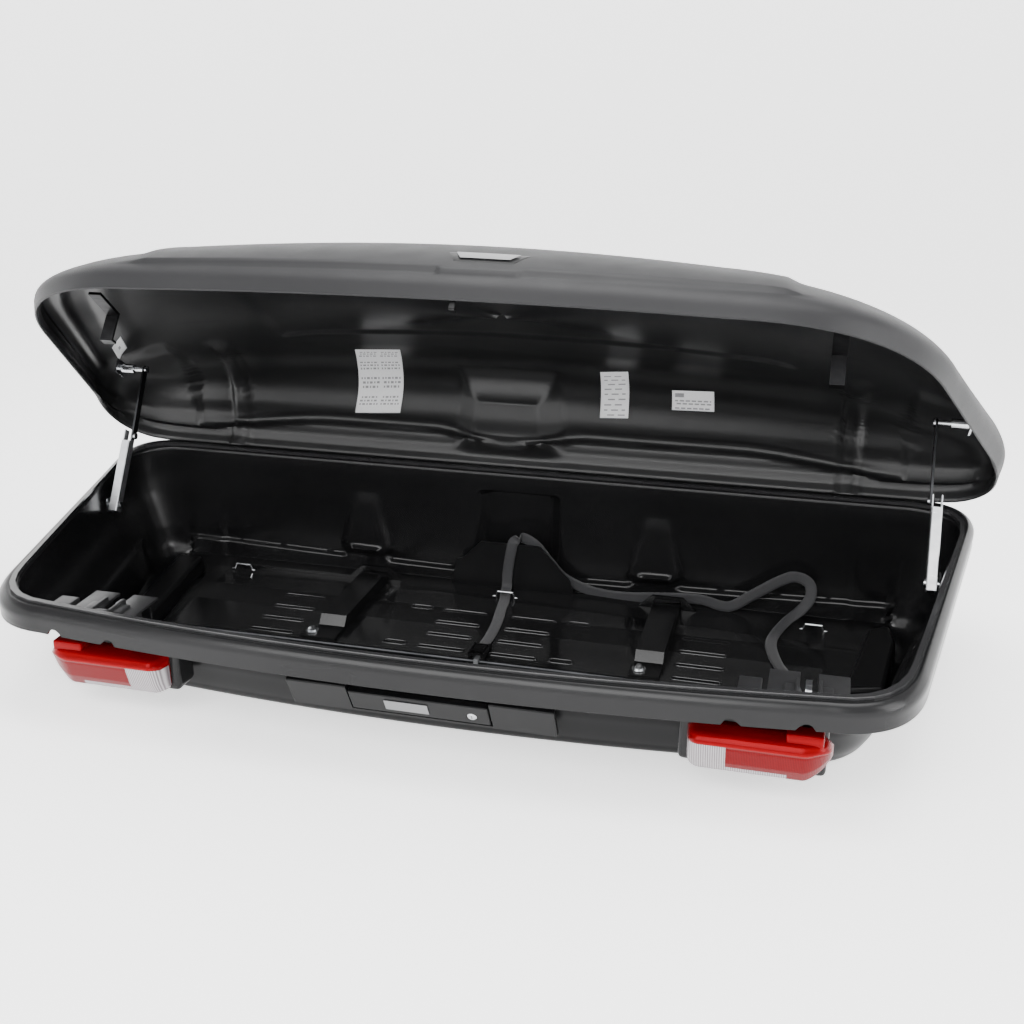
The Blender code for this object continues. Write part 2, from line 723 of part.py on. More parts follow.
def make_strikers(frame):
    """Hooked plates inside the lid's front edge, which the latch claws close over."""
    outline = from_hinge([
        (-0.2475, 0.136), (-0.2475, 0.1395), (-0.2560, 0.1395), (-0.2560, 0.178), (-0.3100, 0.183),
        (-0.3100, 0.179), (-0.2595, 0.174), (-0.2595, 0.136),
    ])
    for name, x in LATCHES:
        mesh = side_profile(outline, x - 0.009, x + 0.009)
        link_mesh("striker_" + name, mesh, "zinc", frame, smooth=False)


def make_stays(lid_frame):
    """On each side a channel from the tub and a link from the lid, which meet at the knee."""
    foot, knee, head = (Vector((0, *place)) for place in (STAY_FOOT, STAY_KNEE, STAY_HEAD))
    for name, sign in SIDES:
        channel = empty("stay_channel_axis_" + name, (sign * STAY_X, *STAY_FOOT))
        make_channel(name, sign, channel, knee - foot)
        shut_head = Matrix.Rotation(LID_OPEN, 3, "X") @ (head - Vector((0, HINGE_Y, HINGE_Z)))
        link = empty("stay_link_axis_" + name, (sign * STAY_X, *shut_head.yz), lid_frame)
        link.rotation_euler.x = LID_OPEN
        make_link(name, sign, link, knee - head)
        make_stay_brackets(name, sign, lid_frame, shut_head)


def along(direction):
    """A turn about X that takes +Z to a direction in the (Y, Z) plane."""
    return Matrix.Rotation(math.atan2(-direction.y, direction.z), 4, "X")


def make_channel(name, sign, parent, reach):
    """A pressed channel, open to the rear, with a pin hole at its foot and ears at the knee."""
    length = reach.length
    turn = along(reach)
    outer = box_mesh((-0.0075, -0.009, -0.012), (0.0075, 0.009, length + 0.010), 0.0012)
    outer.transform(turn)
    channel = link_mesh("stay_channel_" + name, outer, "zinc", parent)
    for cut in (
        box_mesh((-0.0058, -0.0072, -0.02), (0.0058, 0.02, length + 0.02)),
        box_mesh((-0.02, -0.02, length - 0.010), (0.02, -0.0045, length + 0.02)),
        rod_mesh((-0.02, 0, 0), (0.02, 0, 0), 0.0046),
    ):
        cut.transform(turn)
        boolean(channel, cut)


def make_link(name, sign, parent, reach):
    """A flat bar on the channel's inner side, with a rivet head at the knee."""
    length = reach.length
    x_low, x_high = sorted((-sign * 0.0078, -sign * 0.0110))
    half = 0.0065
    points = []
    for first, middle in ((180, 0), (0, length)):
        for i in range(5):
            angle = math.radians(first + 45 * i)
            points.append((half * math.cos(angle), middle + half * math.sin(angle)))
    mesh = side_profile(points, x_low, x_high)
    mesh.transform(along(reach))
    link = link_mesh("stay_link_" + name, mesh, "dark_steel", parent, smooth=False)
    boolean(link, rod_mesh((-0.02, 0, 0), (0.02, 0, 0), 0.0046))
    end = along(reach) @ Vector((0, 0, length))
    rivet = rod_mesh((-sign * 0.0113, *end.yz), (-sign * 0.0140, *end.yz), 0.006)
    link_mesh("stay_rivet_" + name, rivet, "zinc", parent)


def make_stay_brackets(name, sign, lid_frame, shut_head):
    """The pins that the stay turns on: one on the tub's side, one on a stand-off from the lid's."""
    y, z = STAY_FOOT
    wall = STAY_X + 0.0125
    foot = link_mesh("stay_foot_bracket_" + name, pin_mesh(sign, -0.011, 0.0125, (y, z), 0.0040), "zinc")
    plate = corners(sign, wall - 0.0025, wall, y - 0.011, y + 0.013, z - 0.011, z + 0.013)
    boolean(foot, box_mesh(*plate), "UNION")
    boolean(foot, pin_mesh(sign, -0.0105, -0.008, (y, z), 0.0065), "UNION")
    y, z = shut_head.yz
    wall = STAY_X + HEAD_REACH
    pin = pin_mesh(sign, -0.0142, HEAD_REACH, (y, z), 0.0040)
    head = link_mesh("stay_head_bracket_" + name, pin, "zinc", lid_frame)
    boolean(head, pin_mesh(sign, 0.0110, HEAD_REACH, (y, z), 0.0075), "UNION")
    plate = corners(sign, wall - 0.0030, wall, y - 0.014, y + 0.014, z - 0.012, z + 0.012)
    boolean(head, box_mesh(*plate), "UNION")
    boolean(head, pin_mesh(sign, -0.0142, -0.0113, (y, z), 0.0065), "UNION")


def pin_mesh(sign, near, far, place, radius):
    """A pin along X on one side, between two distances out from the stay's own plane."""
    return rod_mesh((sign * (STAY_X + near), *place), (sign * (STAY_X + far), *place), radius, 16)


def corners(sign, x_near, x_far, y_low, y_high, z_low, z_high):
    """Low and high corners of a box on one side of the plane of symmetry."""
    x_low, x_high = sorted((sign * x_near, sign * x_far))
    return (x_low, y_low, z_low), (x_high, y_high, z_high)


# Hinges


def make_hinges(frame):
    """Three strap hinges behind the rim, each with two leaves and a pin."""
    tub_leaf = [
        (0.3336, 0.186), (0.3364, 0.186), (0.3364, 0.1925), (0.3600, 0.1945), (0.3665, 0.2000),
        (0.3675, 0.2130), (0.3655, 0.2165), (0.3620, 0.2180), (0.3585, 0.2165), (0.3570, 0.2130),
        (0.3585, 0.2095), (0.3640, 0.2070), (0.3638, 0.2012), (0.3590, 0.1972), (0.3364, 0.1950),
        (0.3364, 0.1980), (0.3336, 0.1980),
    ]
    lid_leaf = from_hinge([
        (0.3670, 0.213), (0.3655, 0.2165), (0.3630, 0.2185), (0.3520, 0.2445), (0.3395, 0.2595),
        (0.3370, 0.2580), (0.3490, 0.2430), (0.3570, 0.2140), (0.3585, 0.2095), (0.362, 0.208),
        (0.3655, 0.2095),
    ])
    for place, x in (("left", -0.52), ("centre", 0.0), ("right", 0.52)):
        mesh = side_profile(tub_leaf, x - 0.030, x - 0.0005)
        leaf = link_mesh("hinge_leaf_tub_" + place, mesh, "dark_steel", smooth=False)
        boolean(leaf, rod_mesh((x - 0.04, HINGE_Y, HINGE_Z), (x + 0.04, HINGE_Y, HINGE_Z), 0.0029))
        mesh = side_profile(lid_leaf, x + 0.0005, x + 0.030)
        leaf = link_mesh("hinge_leaf_lid_" + place, mesh, "dark_steel", frame, smooth=False)
        boolean(leaf, rod_mesh((x - 0.04, 0, 0), (x + 0.04, 0, 0), 0.0029))
        pin = rod_mesh((x - 0.033, HINGE_Y, HINGE_Z), (x + 0.033, HINGE_Y, HINGE_Z), 0.0024)
        link_mesh("hinge_pin_" + place, pin, "zinc")


# Build

clear_scene()
PARTS = new_collection("rear_cargo_box")
CUTTERS = new_collection("cutters")
MATERIALS = make_materials()

make_tub()
make_rim_seal()
make_tray()
make_rear_rail()
make_clamp_bars()
make_anchor()
make_clips()
make_strap()
make_latch()
make_lamps()
LID = make_lid()
make_strikers(LID)
make_stays(LID)
make_hinges(LID)
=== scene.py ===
"""Looks of the rear cargo box: moulded shells, webbing, lamps, labels, materials and studio.

Everything is in metres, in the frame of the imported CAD. Lid pieces are shaped with the lid shut
and then turned open about the hinge, because the frame's rest pose has the lid open.
"""

import math

import bmesh
import bpy
import numpy as np
from mathutils import Matrix, Vector
from mathutils.bvhtree import BVHTree


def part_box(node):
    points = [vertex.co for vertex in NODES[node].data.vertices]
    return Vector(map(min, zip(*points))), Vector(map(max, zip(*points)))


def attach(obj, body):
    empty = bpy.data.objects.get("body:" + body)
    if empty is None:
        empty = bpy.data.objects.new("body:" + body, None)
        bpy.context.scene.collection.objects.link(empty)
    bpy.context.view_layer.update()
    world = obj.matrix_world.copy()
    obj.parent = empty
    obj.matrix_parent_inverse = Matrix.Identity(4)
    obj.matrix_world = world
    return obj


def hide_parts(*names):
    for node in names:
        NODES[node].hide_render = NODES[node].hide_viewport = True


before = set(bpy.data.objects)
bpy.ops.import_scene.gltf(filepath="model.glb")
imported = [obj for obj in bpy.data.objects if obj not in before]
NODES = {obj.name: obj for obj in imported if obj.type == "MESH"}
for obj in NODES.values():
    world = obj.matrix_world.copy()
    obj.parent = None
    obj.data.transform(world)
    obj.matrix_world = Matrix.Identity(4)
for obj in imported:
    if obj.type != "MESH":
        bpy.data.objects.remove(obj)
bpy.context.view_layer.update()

# Driving dimensions, the same as the CAD's

WALL = 0.004
RIM_HEIGHT = 0.193
RIM_SLOPE = 0.0775
RIM_WIDTH = 0.024
RIM_DROP = 0.034
RIM_FRONT_Y, RIM_REAR_Y = -0.315, 0.299
RIM_FRONT_X, RIM_REAR_X = 0.612, 0.730
FRONT_BOW = 0.041
HINGE = Vector((0, 0.362, 0.213))
LID_OPEN = math.radians(37)
LID_FRONT_Y, LID_REAR_Y = -0.366, 0.345
LID_FRONT_X, LID_REAR_X = 0.582, 0.805
LID_FRONT_BOW = 0.036
LID_LIFT = 0.0065
LID_REAR_DROP = 0.024
SKIRT_MORE = 0.0020
CROWN_FRONT, CROWN_REAR = 0.070, 0.030
CROWN_REACH = 0.75
BAR_CENTRES = (-0.253, 0.270)
LATCH_CENTRES = {"left": -0.461, "right": 0.509}

STRAP_WIDTH = 0.018
STRAP_THICKNESS = 0.0016
STRAP_ROUTE = [
    ((0.497, -0.030, 0.0105), (1, 0, 0)),
    ((0.492, 0.025, 0.0105), (1, 0.2, 0)),
    ((0.478, 0.066, 0.0105), (1, 0.4, 0)),
    ((0.461, 0.106, 0.0105), (1, 0.25, 0)),
    ((0.4485, 0.1633, 0.0105), (1, 0, 0)),
    ((0.452, 0.2020, 0.0125), (1, -0.3, 0)),
    ((0.468, 0.2320, 0.0240), (0.9, -0.6, -0.2)),
    ((0.491, 0.2520, 0.0400), (1, -0.3, -0.2)),
    ((0.503, 0.2610, 0.0600), (1, -0.2, 0)),
    ((0.498, 0.2670, 0.0810), (0.8, 0, 0.6)),
    ((0.474, 0.2700, 0.0880), (0, 0.1, 1)),
    ((0.446, 0.2690, 0.0750), (-0.3, 0.1, 1)),
    ((0.408, 0.2680, 0.0480), (-0.4, 0.1, 1)),
    ((0.370, 0.2690, 0.0230), (0.2, 0.1, 1)),
    ((0.322, 0.2710, 0.0300), (0, 0, 1)),
    ((0.258, 0.2690, 0.0270), (0, 0, 1)),
    ((0.205, 0.2700, 0.0210), (0, 0, 1)),
    ((0.155, 0.2740, 0.0200), (0, 0, 1)),
    ((0.115, 0.2790, 0.0270), (0.3, 0, 1)),
    ((0.083, 0.2810, 0.0420), (0.55, 0, 0.85)),
    ((0.058, 0.2815, 0.0680), (0.65, 0, 0.75)),
    ((0.036, 0.2800, 0.0950), (0.5, 0, 0.85)),
    ((0.013, 0.2755, 0.1090), (0.8, 0.3, 0.4)),
    ((-0.001, 0.2675, 0.1030), (1, 0.1, 0.1)),
    ((-0.005, 0.2660, 0.088), (1, 0, 0.1)),
    ((-0.009, 0.2660, 0.065), (1, 0, 0)),
    ((-0.012, 0.2655, 0.040), (1, 0, 0)),
    ((-0.012, 0.2625, 0.0215), (1, 0, 0)),
    ((-0.011, 0.250, 0.0155), (1, 0, 0)),
    ((-0.007, 0.228, 0.0112), (1, 0, 0)),
    ((-0.002, 0.185, 0.0105), (1, 0, 0)),
    ((0.005, 0.130, 0.0105), (1, 0, 0)),
    ((0.007, 0.080, 0.0105), (1, 0, 0)),
    ((0.006, 0.048, 0.0105), (1, 0, 0)),
]

# Camera


CAMERA_PLACE = (0.4956, -1.6443, 0.8873)
CAMERA_TILT, CAMERA_TURN = math.radians(69.74), math.radians(14.65)
CAMERA_LENS, CAMERA_SENSOR = 43.242, 36


def make_camera():
    data = bpy.data.cameras.new("camera")
    data.sensor_width = CAMERA_SENSOR
    data.lens = CAMERA_LENS
    data.clip_start, data.clip_end = 0.05, 50
    camera = bpy.data.objects.new("camera", data)
    camera.location = CAMERA_PLACE
    camera.rotation_euler = (CAMERA_TILT, 0, CAMERA_TURN)
    bpy.context.scene.collection.objects.link(camera)
    bpy.context.scene.camera = camera


make_camera()

# Materials


def new_material(name, colour, roughness, metallic=0.0):
    made = bpy.data.materials.new(name)
    made.use_nodes = True
    shader = made.node_tree.nodes["Principled BSDF"]
    shader.inputs["Base Color"].default_value = (*colour, 1)
    shader.inputs["Roughness"].default_value = roughness
    shader.inputs["Metallic"].default_value = metallic
    return made, shader


def add_node(material, kind, **inputs):
    made = material.node_tree.nodes.new(kind)
    for name, value in inputs.items():
        made.inputs[name.replace("_", " ")].default_value = value
    return made


def wire(material, source, target):
    material.node_tree.links.new(source, target)


def place(material):
    """Object coordinates: they stay with the piece when it moves."""
    return add_node(material, "ShaderNodeTexCoord").outputs["Object"]


def noise(material, scale, detail=4.0, roughness=0.5):
    made = add_node(
        material, "ShaderNodeTexNoise", Scale=scale, Detail=detail, Roughness=roughness
    )
    wire(material, place(material), made.inputs["Vector"])
    return made.outputs["Fac"]


def spread(material, source, low, high, from_low=0.3, from_high=0.7):
    """A value between low and high, from a texture."""
    made = add_node(material, "ShaderNodeMapRange")
    for name, value in (
        ("From Min", from_low), ("From Max", from_high), ("To Min", low), ("To Max", high)
    ):
        made.inputs[name].default_value = value
    wire(material, source, made.inputs["Value"])
    return made.outputs["Result"]


def blend_colours(material, source, low, high):
    made = add_node(material, "ShaderNodeMix")
    made.data_type = "RGBA"
    made.inputs[6].default_value = (*low, 1)
    made.inputs[7].default_value = (*high, 1)
    wire(material, source, made.inputs[0])
    return made.outputs[2]


def add_bump(material, shader, source, strength, distance):
    made = add_node(material, "ShaderNodeBump", Strength=strength, Distance=distance)
    wire(material, source, made.inputs["Height"])
    wire(material, made.outputs["Normal"], shader.inputs["Normal"])


def plastic(name, colour, lighter, roughness, grain, grain_depth, coat=0.0, shine=0.5):
    """Moulded plastic: a faint mottle, uneven gloss and a moulded grain."""
    made, shader = new_material(name, colour, roughness)
    mottle = spread(made, noise(made, 5.0, 2.0), 0, 1)
    wire(made, blend_colours(made, mottle, colour, lighter), shader.inputs["Base Color"])
    wear = spread(made, noise(made, 24.0, 3.0), roughness * 0.95, roughness * 1.06)
    wire(made, wear, shader.inputs["Roughness"])
    add_bump(made, shader, noise(made, grain, 3.0), 0.35, grain_depth)
    shader.inputs["Specular IOR Level"].default_value = shine
    shader.inputs["Coat Weight"].default_value = coat
    shader.inputs["Coat Roughness"].default_value = 0.12
    return made


def metal(name, colour, lighter, roughness, brush=(40, 40, 900)):
    """Plated or drawn steel with fine streaks and a cloudy passivated tone."""
    made, shader = new_material(name, colour, roughness, 1.0)
    cloud = spread(made, noise(made, 60.0), 0, 1)
    wire(made, blend_colours(made, cloud, colour, lighter), shader.inputs["Base Color"])
    stretch = add_node(made, "ShaderNodeMapping")
    stretch.inputs["Scale"].default_value = brush
    wire(made, place(made), stretch.inputs["Vector"])
    streak = add_node(made, "ShaderNodeTexNoise", Scale=1.0, Detail=3.0)
    wire(made, stretch.outputs["Vector"], streak.inputs["Vector"])
    wire(made, spread(made, streak.outputs["Fac"], roughness * 0.75, roughness * 1.3),
         shader.inputs["Roughness"])
    add_bump(made, shader, streak.outputs["Fac"], 0.15, 0.0002)
    return made


def woven(name):
    """Black polyester webbing: a twill of fine ribs with a soft sheen."""
    made, shader = new_material(name, (0.012, 0.012, 0.013), 0.62)
    ribs = add_node(made, "ShaderNodeTexWave", Scale=260.0, Distortion=1.2, Detail=2.0)
    ribs.bands_direction = "DIAGONAL"
    wire(made, place(made), ribs.inputs["Vector"])
    tone = blend_colours(made, ribs.outputs["Fac"], (0.006, 0.006, 0.007), (0.030, 0.030, 0.033))
    wire(made, tone, shader.inputs["Base Color"])
    add_bump(made, shader, ribs.outputs["Fac"], 0.6, 0.0004)
    shader.inputs["Sheen Weight"].default_value = 0.35
    shader.inputs["Sheen Roughness"].default_value = 0.4
    return made


def lens(name, colour, deep, rib_scale, rib_depth, direction, tint):
    """A moulded lamp lens with optical ribs behind a glossy outer face."""
    made, shader = new_material(name, colour, 0.18)
    ribs = add_node(made, "ShaderNodeTexWave", Scale=rib_scale, Distortion=0.0)
    ribs.bands_direction = direction
    wire(made, place(made), ribs.inputs["Vector"])
    wire(made, blend_colours(made, ribs.outputs["Fac"], deep, colour), shader.inputs["Base Color"])
    uneven = spread(made, noise(made, 50.0), 0.16, 0.24)
    wire(made, uneven, shader.inputs["Roughness"])
    add_bump(made, shader, ribs.outputs["Fac"], 0.5, rib_depth)
    shader.inputs["Coat Weight"].default_value = 0.03
    shader.inputs["Coat Roughness"].default_value = 0.04
    shader.inputs["Specular IOR Level"].default_value = 0.40
    shader.inputs["Specular Tint"].default_value = (*tint, 1)
    return made


def printed_paper(name, base):
    made, shader = new_material(name, base, 0.5)
    fibre = spread(made, noise(made, 300.0), 0, 1)
    darker = tuple(0.93 * c for c in base)
    wire(made, blend_colours(made, fibre, darker, base), shader.inputs["Base Color"])
    add_bump(made, shader, noise(made, 500.0), 0.1, 0.0001)
    return made


BLACK = (0.0040, 0.0040, 0.0043)
DEEP = (0.0060, 0.0060, 0.0064)
SOFT = (0.0095, 0.0095, 0.0100)
CHARCOAL = (0.0125, 0.0125, 0.0135)
LIGHTER = (0.0165, 0.0165, 0.0175)
LOOKS = {
    "tub": plastic("abs_gloss_black", BLACK, DEEP, 0.25, 700, 0.00002, 0.06, 0.26),
    "lid_in": plastic("abs_inner_black", DEEP, SOFT, 0.33, 700, 0.00002, 0.04, 0.40),
    "lid": plastic("abs_grained_charcoal", CHARCOAL, LIGHTER, 0.48, 1500, 0.0003, 0.0, 0.20),
    # The rim look has a lighter base than the tub and wall looks of the same moulding: a painted
    # highlight on the rim.
    "rim": plastic("abs_black_painted_highlight_rim", DEEP, SOFT, 0.24, 1300, 0.0001, 0.0, 0.22),
    "wall": plastic("abs_outer_black", BLACK, DEEP, 0.30, 1300, 0.0001, 0.0, 0.10),
    "trim": plastic("trim_moulded", BLACK, DEEP, 0.32, 1300, 0.0001, 0.0, 0.15),
    "cover": plastic("cover_grey", LIGHTER, (0.030, 0.030, 0.031), 0.34, 1300, 0.0002, 0.0, 0.5),
    # The lips look is lighter than the tray: a painted highlight on the slot edges.
    "lips": plastic("tray_lips_painted_highlight", SOFT, CHARCOAL, 0.22, 900, 0.00002, 0.6),
    "tray": plastic("tray_polished", BLACK, DEEP, 0.14, 700, 0.00001, 0.3, 0.5),
    # The seal look is lighter than black rubber: a painted highlight along the rim's inner edge.
    "seal": plastic("seal_painted_highlight", LIGHTER, (0.026, 0.026, 0.027), 0.20, 900, 0.00004, 0.5),
    "zinc": metal("zinc_plate", (0.50, 0.51, 0.53), (0.64, 0.65, 0.66), 0.36),
    "chrome": metal("bright_nickel", (0.42, 0.43, 0.45), (0.68, 0.69, 0.70), 0.18),
    "black_zinc": metal("black_zinc", (0.014, 0.014, 0.015), (0.024, 0.024, 0.025), 0.38),
    "dark_steel": metal("oxide_steel", (0.030, 0.031, 0.033), (0.050, 0.051, 0.054), 0.34),
    "red": lens(
        "lens_red", (0.12, 0.0002, 0.0014), (0.07, 0.0001, 0.0009), 160, 0.0002, "X", (1, 0.02, 0.04)
    ),
    "bright_red": lens(
        "lens_band", (0.17, 0.0003, 0.0020), (0.13, 0.0002, 0.0015), 40, 0.0001, "Z", (1, 0.06, 0.08)
    ),
    "clear": lens("lens_clear", (0.38, 0.36, 0.37), (0.13, 0.11, 0.12), 110, 0.0005, "X", (1, 1, 1)),
    "grey": plastic("plate_grey", (0.16, 0.16, 0.165), (0.22, 0.22, 0.225), 0.30, 1300, 0.0001),
    "paper": printed_paper("label_white", (0.72, 0.72, 0.73)),
    "ink": printed_paper("label_ink", (0.24, 0.24, 0.25)),
    "webbing": woven("webbing_black"),
}

# Mesh helpers


def add_piece(name, mesh, body, looks, smooth=40.0):
    """Links a mesh as a piece that rides on a body; looks are its materials, first one default."""
    made = bpy.data.objects.new(name, mesh)
    bpy.context.scene.collection.objects.link(made)
    for look in looks:
        mesh.materials.append(LOOKS[look])
    mesh.shade_smooth()
    mesh.set_sharp_from_angle(angle=math.radians(smooth))
    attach(made, body)
    return made


def to_mesh(name, bm):
    bmesh.ops.recalc_face_normals(bm, faces=bm.faces)
    made = bpy.data.meshes.new(name)
    bm.to_mesh(made)
    bm.free()
    return made


def box_into(bm, low, high, bevel=0.0, segments=2, turn=None):
    """A box with rounded edges, added to bm."""
    size = [b - a for a, b in zip(low, high)]
    middle = Vector([(a + b) / 2 for a, b in zip(low, high)])
    made = bmesh.ops.create_cube(bm, size=1.0)
    verts = made["verts"]
    bmesh.ops.scale(bm, vec=size, verts=verts)
    bmesh.ops.translate(bm, vec=middle, verts=verts)
    if bevel:
        edges = list({e for v in verts for e in v.link_edges})
        made = bmesh.ops.bevel(
            bm, geom=edges, offset=bevel, segments=segments, profile=0.6, affect="EDGES"
        )
        verts = list({v for f in made["faces"] for v in f.verts} | {v for v in verts if v.is_valid})
    if turn is not None:
        bmesh.ops.transform(bm, matrix=turn, verts=verts)


def prism_into(bm, outline, lift, top_share=1.0):
    """An upright block on a plan outline of points, its top drawn in a little."""
    low = [bm.verts.new(p) for p in outline]
    middle = sum((Vector(p) for p in outline), Vector()) / len(outline)
    high = []
    for p in outline:
        place_in = middle + (Vector(p) - middle) * top_share
        high.append(bm.verts.new((place_in.x, place_in.y, p[2] + lift)))
    bm.faces.new(low)
    bm.faces.new(high)
    for i in range(len(low)):
        j = (i + 1) % len(low)
        bm.faces.new((low[i], low[j], high[j], high[i]))


def soften(piece, width, segments=2):
    made = piece.modifiers.new("soften", "BEVEL")
    made.width = width
    made.segments = segments
    made.limit_method = "ANGLE"
    made.angle_limit = math.radians(30)
    made.harden_normals = False


def open_lid(point):
    """A shut-lid point where the open lid has it."""
    turn = Matrix.Rotation(-LID_OPEN, 3, "X")
    return turn @ (Vector(point) - HINGE) + HINGE


OPEN_LID = Matrix.Translation(HINGE) @ Matrix.Rotation(-LID_OPEN, 4, "X") @ Matrix.Translation(-HINGE)

# The luggage strap


def smooth_route(route, steps):
    """Points and width directions on a smooth curve through a route's own."""
    rows = [(*point, *width) for point, width in route]
    rows = [rows[0]] + rows + [rows[-1]]
    found = []
    for a, b, c, d in zip(rows, rows[1:], rows[2:], rows[3:]):
        for i in range(steps):
            t = i / steps
            found.append([
                0.5 * (2 * q + (r - p) * t + (2 * p - 5 * q + 4 * r - s) * t * t
                       + (3 * q - p - 3 * r + s) * t ** 3)
                for p, q, r, s in zip(a, b, c, d)
            ])
    found.append(list(rows[-1]))
    return [(Vector(row[:3]), Vector(row[3:])) for row in found]


def strap_section():
    """Half widths and half thicknesses round the webbing, with rounded selvedges."""
    half, thick = STRAP_WIDTH / 2, STRAP_THICKNESS / 2
    across = [-1, -0.96, -0.5, 0, 0.5, 0.96, 1]
    depth = [0.35, 1, 0.85, 0.9, 0.85, 1, 0.35]
    top = [(half * a, thick * d) for a, d in zip(across, depth)]
    return top + [(a, -d) for a, d in reversed(top)]


def make_strap():
    rows = smooth_route(STRAP_ROUTE, 8)
    places = [point for point, _ in rows]
    bm = bmesh.new()
    rings = []
    for i, (point, width) in enumerate(rows):
        ahead = (places[min(i + 1, len(rows) - 1)] - places[max(i - 1, 0)]).normalized()
        across = (width - ahead * width.dot(ahead)).normalized()
        up = ahead.cross(across)
        rings.append([bm.verts.new(point + across * a + up * d) for a, d in strap_section()])
    for low, high in zip(rings, rings[1:]):
        for i in range(len(low)):
            j = (i + 1) % len(low)
            bm.faces.new((low[i], low[j], high[j], high[i]))
    bm.faces.new(rings[0])
    bm.faces.new(rings[-1])
    strap = add_piece("strap_webbing", to_mesh("strap_webbing", bm), "tub", ["webbing"], 60)
    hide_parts("luggage_strap")
    buckle = make_buckle()


def make_buckle():
    """A ladder buckle: a frame with two bars and a lifting tongue."""
    low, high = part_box("strap_buckle")
    mid = (low.z + high.z) / 2
    bm = bmesh.new()
    for x in (low.x, high.x - 0.0035):
        box_into(bm, (x, low.y, low.z), (x + 0.0035, high.y, high.z - 0.001), 0.0010)
    for y in (low.y, low.y + 0.013, low.y + 0.026, high.y - 0.004):
        box_into(bm, (low.x + 0.001, y, mid - 0.002), (high.x - 0.001, y + 0.004, mid + 0.002), 0.0009)
    box_into(bm, (low.x + 0.005, low.y + 0.015, mid), (high.x - 0.005, low.y + 0.029, high.z), 0.0014)
    buckle = add_piece("buckle_ladder", to_mesh("buckle_ladder", bm), "tub", ["trim"])
    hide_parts("strap_buckle")
    return buckle


make_strap()

# Shells as grids of points


def smooth_step(value, low, high):
    t = np.clip((value - low) / (high - low), 0, 1)
    return t * t * (3 - 2 * t)


def band(value, low, high, edge):
    """1 between low and high, falling to 0 over edge outside them."""
    return smooth_step(value, low - edge, low) * (1 - smooth_step(value, high, high + edge))


def ramp_band(value, low, high, edge):
    """As band, with straight flanks, so that their edges read as creases."""
    return np.clip((value - low) / edge + 1, 0, 1) * np.clip((high - value) / edge + 1, 0, 1)


def hill(value, centre, reach):
    return np.clip(1 - ((value - centre) / reach) ** 2, 0, 1) ** 2


def curve_between(start, control, end, steps):
    t = np.linspace(0, 1, steps + 1)[1:, None]
    start, control, end = np.array(start), np.array(control), np.array(end)
    return (1 - t) ** 2 * start + 2 * t * (1 - t) * control + t * t * end


def line_between(start, end, steps):
    t = np.linspace(0, 1, steps + 1)[1:, None]
    return np.array(start) * (1 - t) + np.array(end) * t


def plan_outline(front_y, front_x, rear_y, rear_x, bow, front_round, rear_round):
    """A closed plan outline: bowed front, sides that flare to the rear, four rounded corners."""
    slope = (rear_x - front_x) / (rear_y - front_y - bow)
    x_turn = front_x - front_round
    share = np.linspace(0, x_turn / front_x, 111)
    front = np.stack([front_x * share, front_y + bow * share ** 2], 1)
    y_turn = front_y + bow + front_round
    control = (front_x, front_y + bow - 0.1 * front_round)
    turn_end = (front_x + slope * front_round, y_turn)
    y_end = rear_y - rear_round
    side_end = (front_x + slope * (y_end - front_y - bow), y_end)
    x_end = rear_x - rear_round
    half = np.concatenate([
        front,
        curve_between(front[-1], control, turn_end, 20),
        line_between(turn_end, side_end, 16),
        curve_between(side_end, (rear_x, rear_y), (x_end, rear_y), 24),
        line_between((x_end, rear_y), (0, rear_y), 104),
    ])
    mirrored = half[1:-1][::-1] * (-1, 1)
    return np.concatenate([half, mirrored])


def skin(rings, pitch):
    """Rows of points on a smooth surface through rings, about pitch apart."""
    rings = np.array(rings)
    gaps = np.linalg.norm(np.diff(rings, axis=0), axis=2).mean(1)
    slopes = np.diff(rings, axis=0) / gaps[:, None, None]
    tangents = np.empty_like(rings)
    tangents[0], tangents[-1] = slopes[0], slopes[-1]
    for k in range(1, len(rings) - 1):
        before, after = gaps[k - 1], gaps[k]
        tangents[k] = (slopes[k - 1] * after + slopes[k] * before) / (before + after)
    rows = []
    for k, gap in enumerate(gaps):
        steps = max(2, round(gap / pitch))
        for t in np.arange(steps) / steps:
            rows.append(
                (2 * t ** 3 - 3 * t * t + 1) * rings[k] + (t ** 3 - 2 * t * t + t) * gap * tangents[k]
                + (3 * t * t - 2 * t ** 3) * rings[k + 1] + (t ** 3 - t * t) * gap * tangents[k + 1]
            )
    rows.append(rings[-1])
    return np.array(rows)


def normals_of(rows):
    """Unit normals of a grid that is closed along its columns."""
    down = np.gradient(rows, axis=0)
    along = np.roll(rows, -1, axis=1) - np.roll(rows, 1, axis=1)
    made = np.cross(along, down)
    return made / np.maximum(np.linalg.norm(made, axis=2, keepdims=True), 1e-9)


def closed_shell(name, seen, hidden):
    """One closed mesh from the seen skin and the hidden one: band between first rows, caps on last."""
    count = seen.shape[1]
    bm = bmesh.new()
    grids = []
    for rows in (seen, hidden):
        grids.append([[bm.verts.new(p) for p in row] for row in rows])
    lip = [bm.verts.new(p) for p in (seen[0] + hidden[0]) / 2 - (seen[1] - seen[0]) * 0.35]
    outer, inner = grids
    for index, grid in enumerate(grids):
        for low, high in zip(grid, grid[1:]):
            for i in range(count):
                j = (i + 1) % count
                bm.faces.new((low[i], low[j], high[j], high[i])).material_index = index
        bm.faces.new(grid[-1]).material_index = index
    for low, high in ((outer[0], lip), (lip, inner[0])):
        for i in range(count):
            j = (i + 1) % count
            bm.faces.new((low[i], low[j], high[j], high[i])).material_index = 0
    return to_mesh(name, bm)


# The tub


def rim_z(y):
    return RIM_HEIGHT + RIM_SLOPE * y


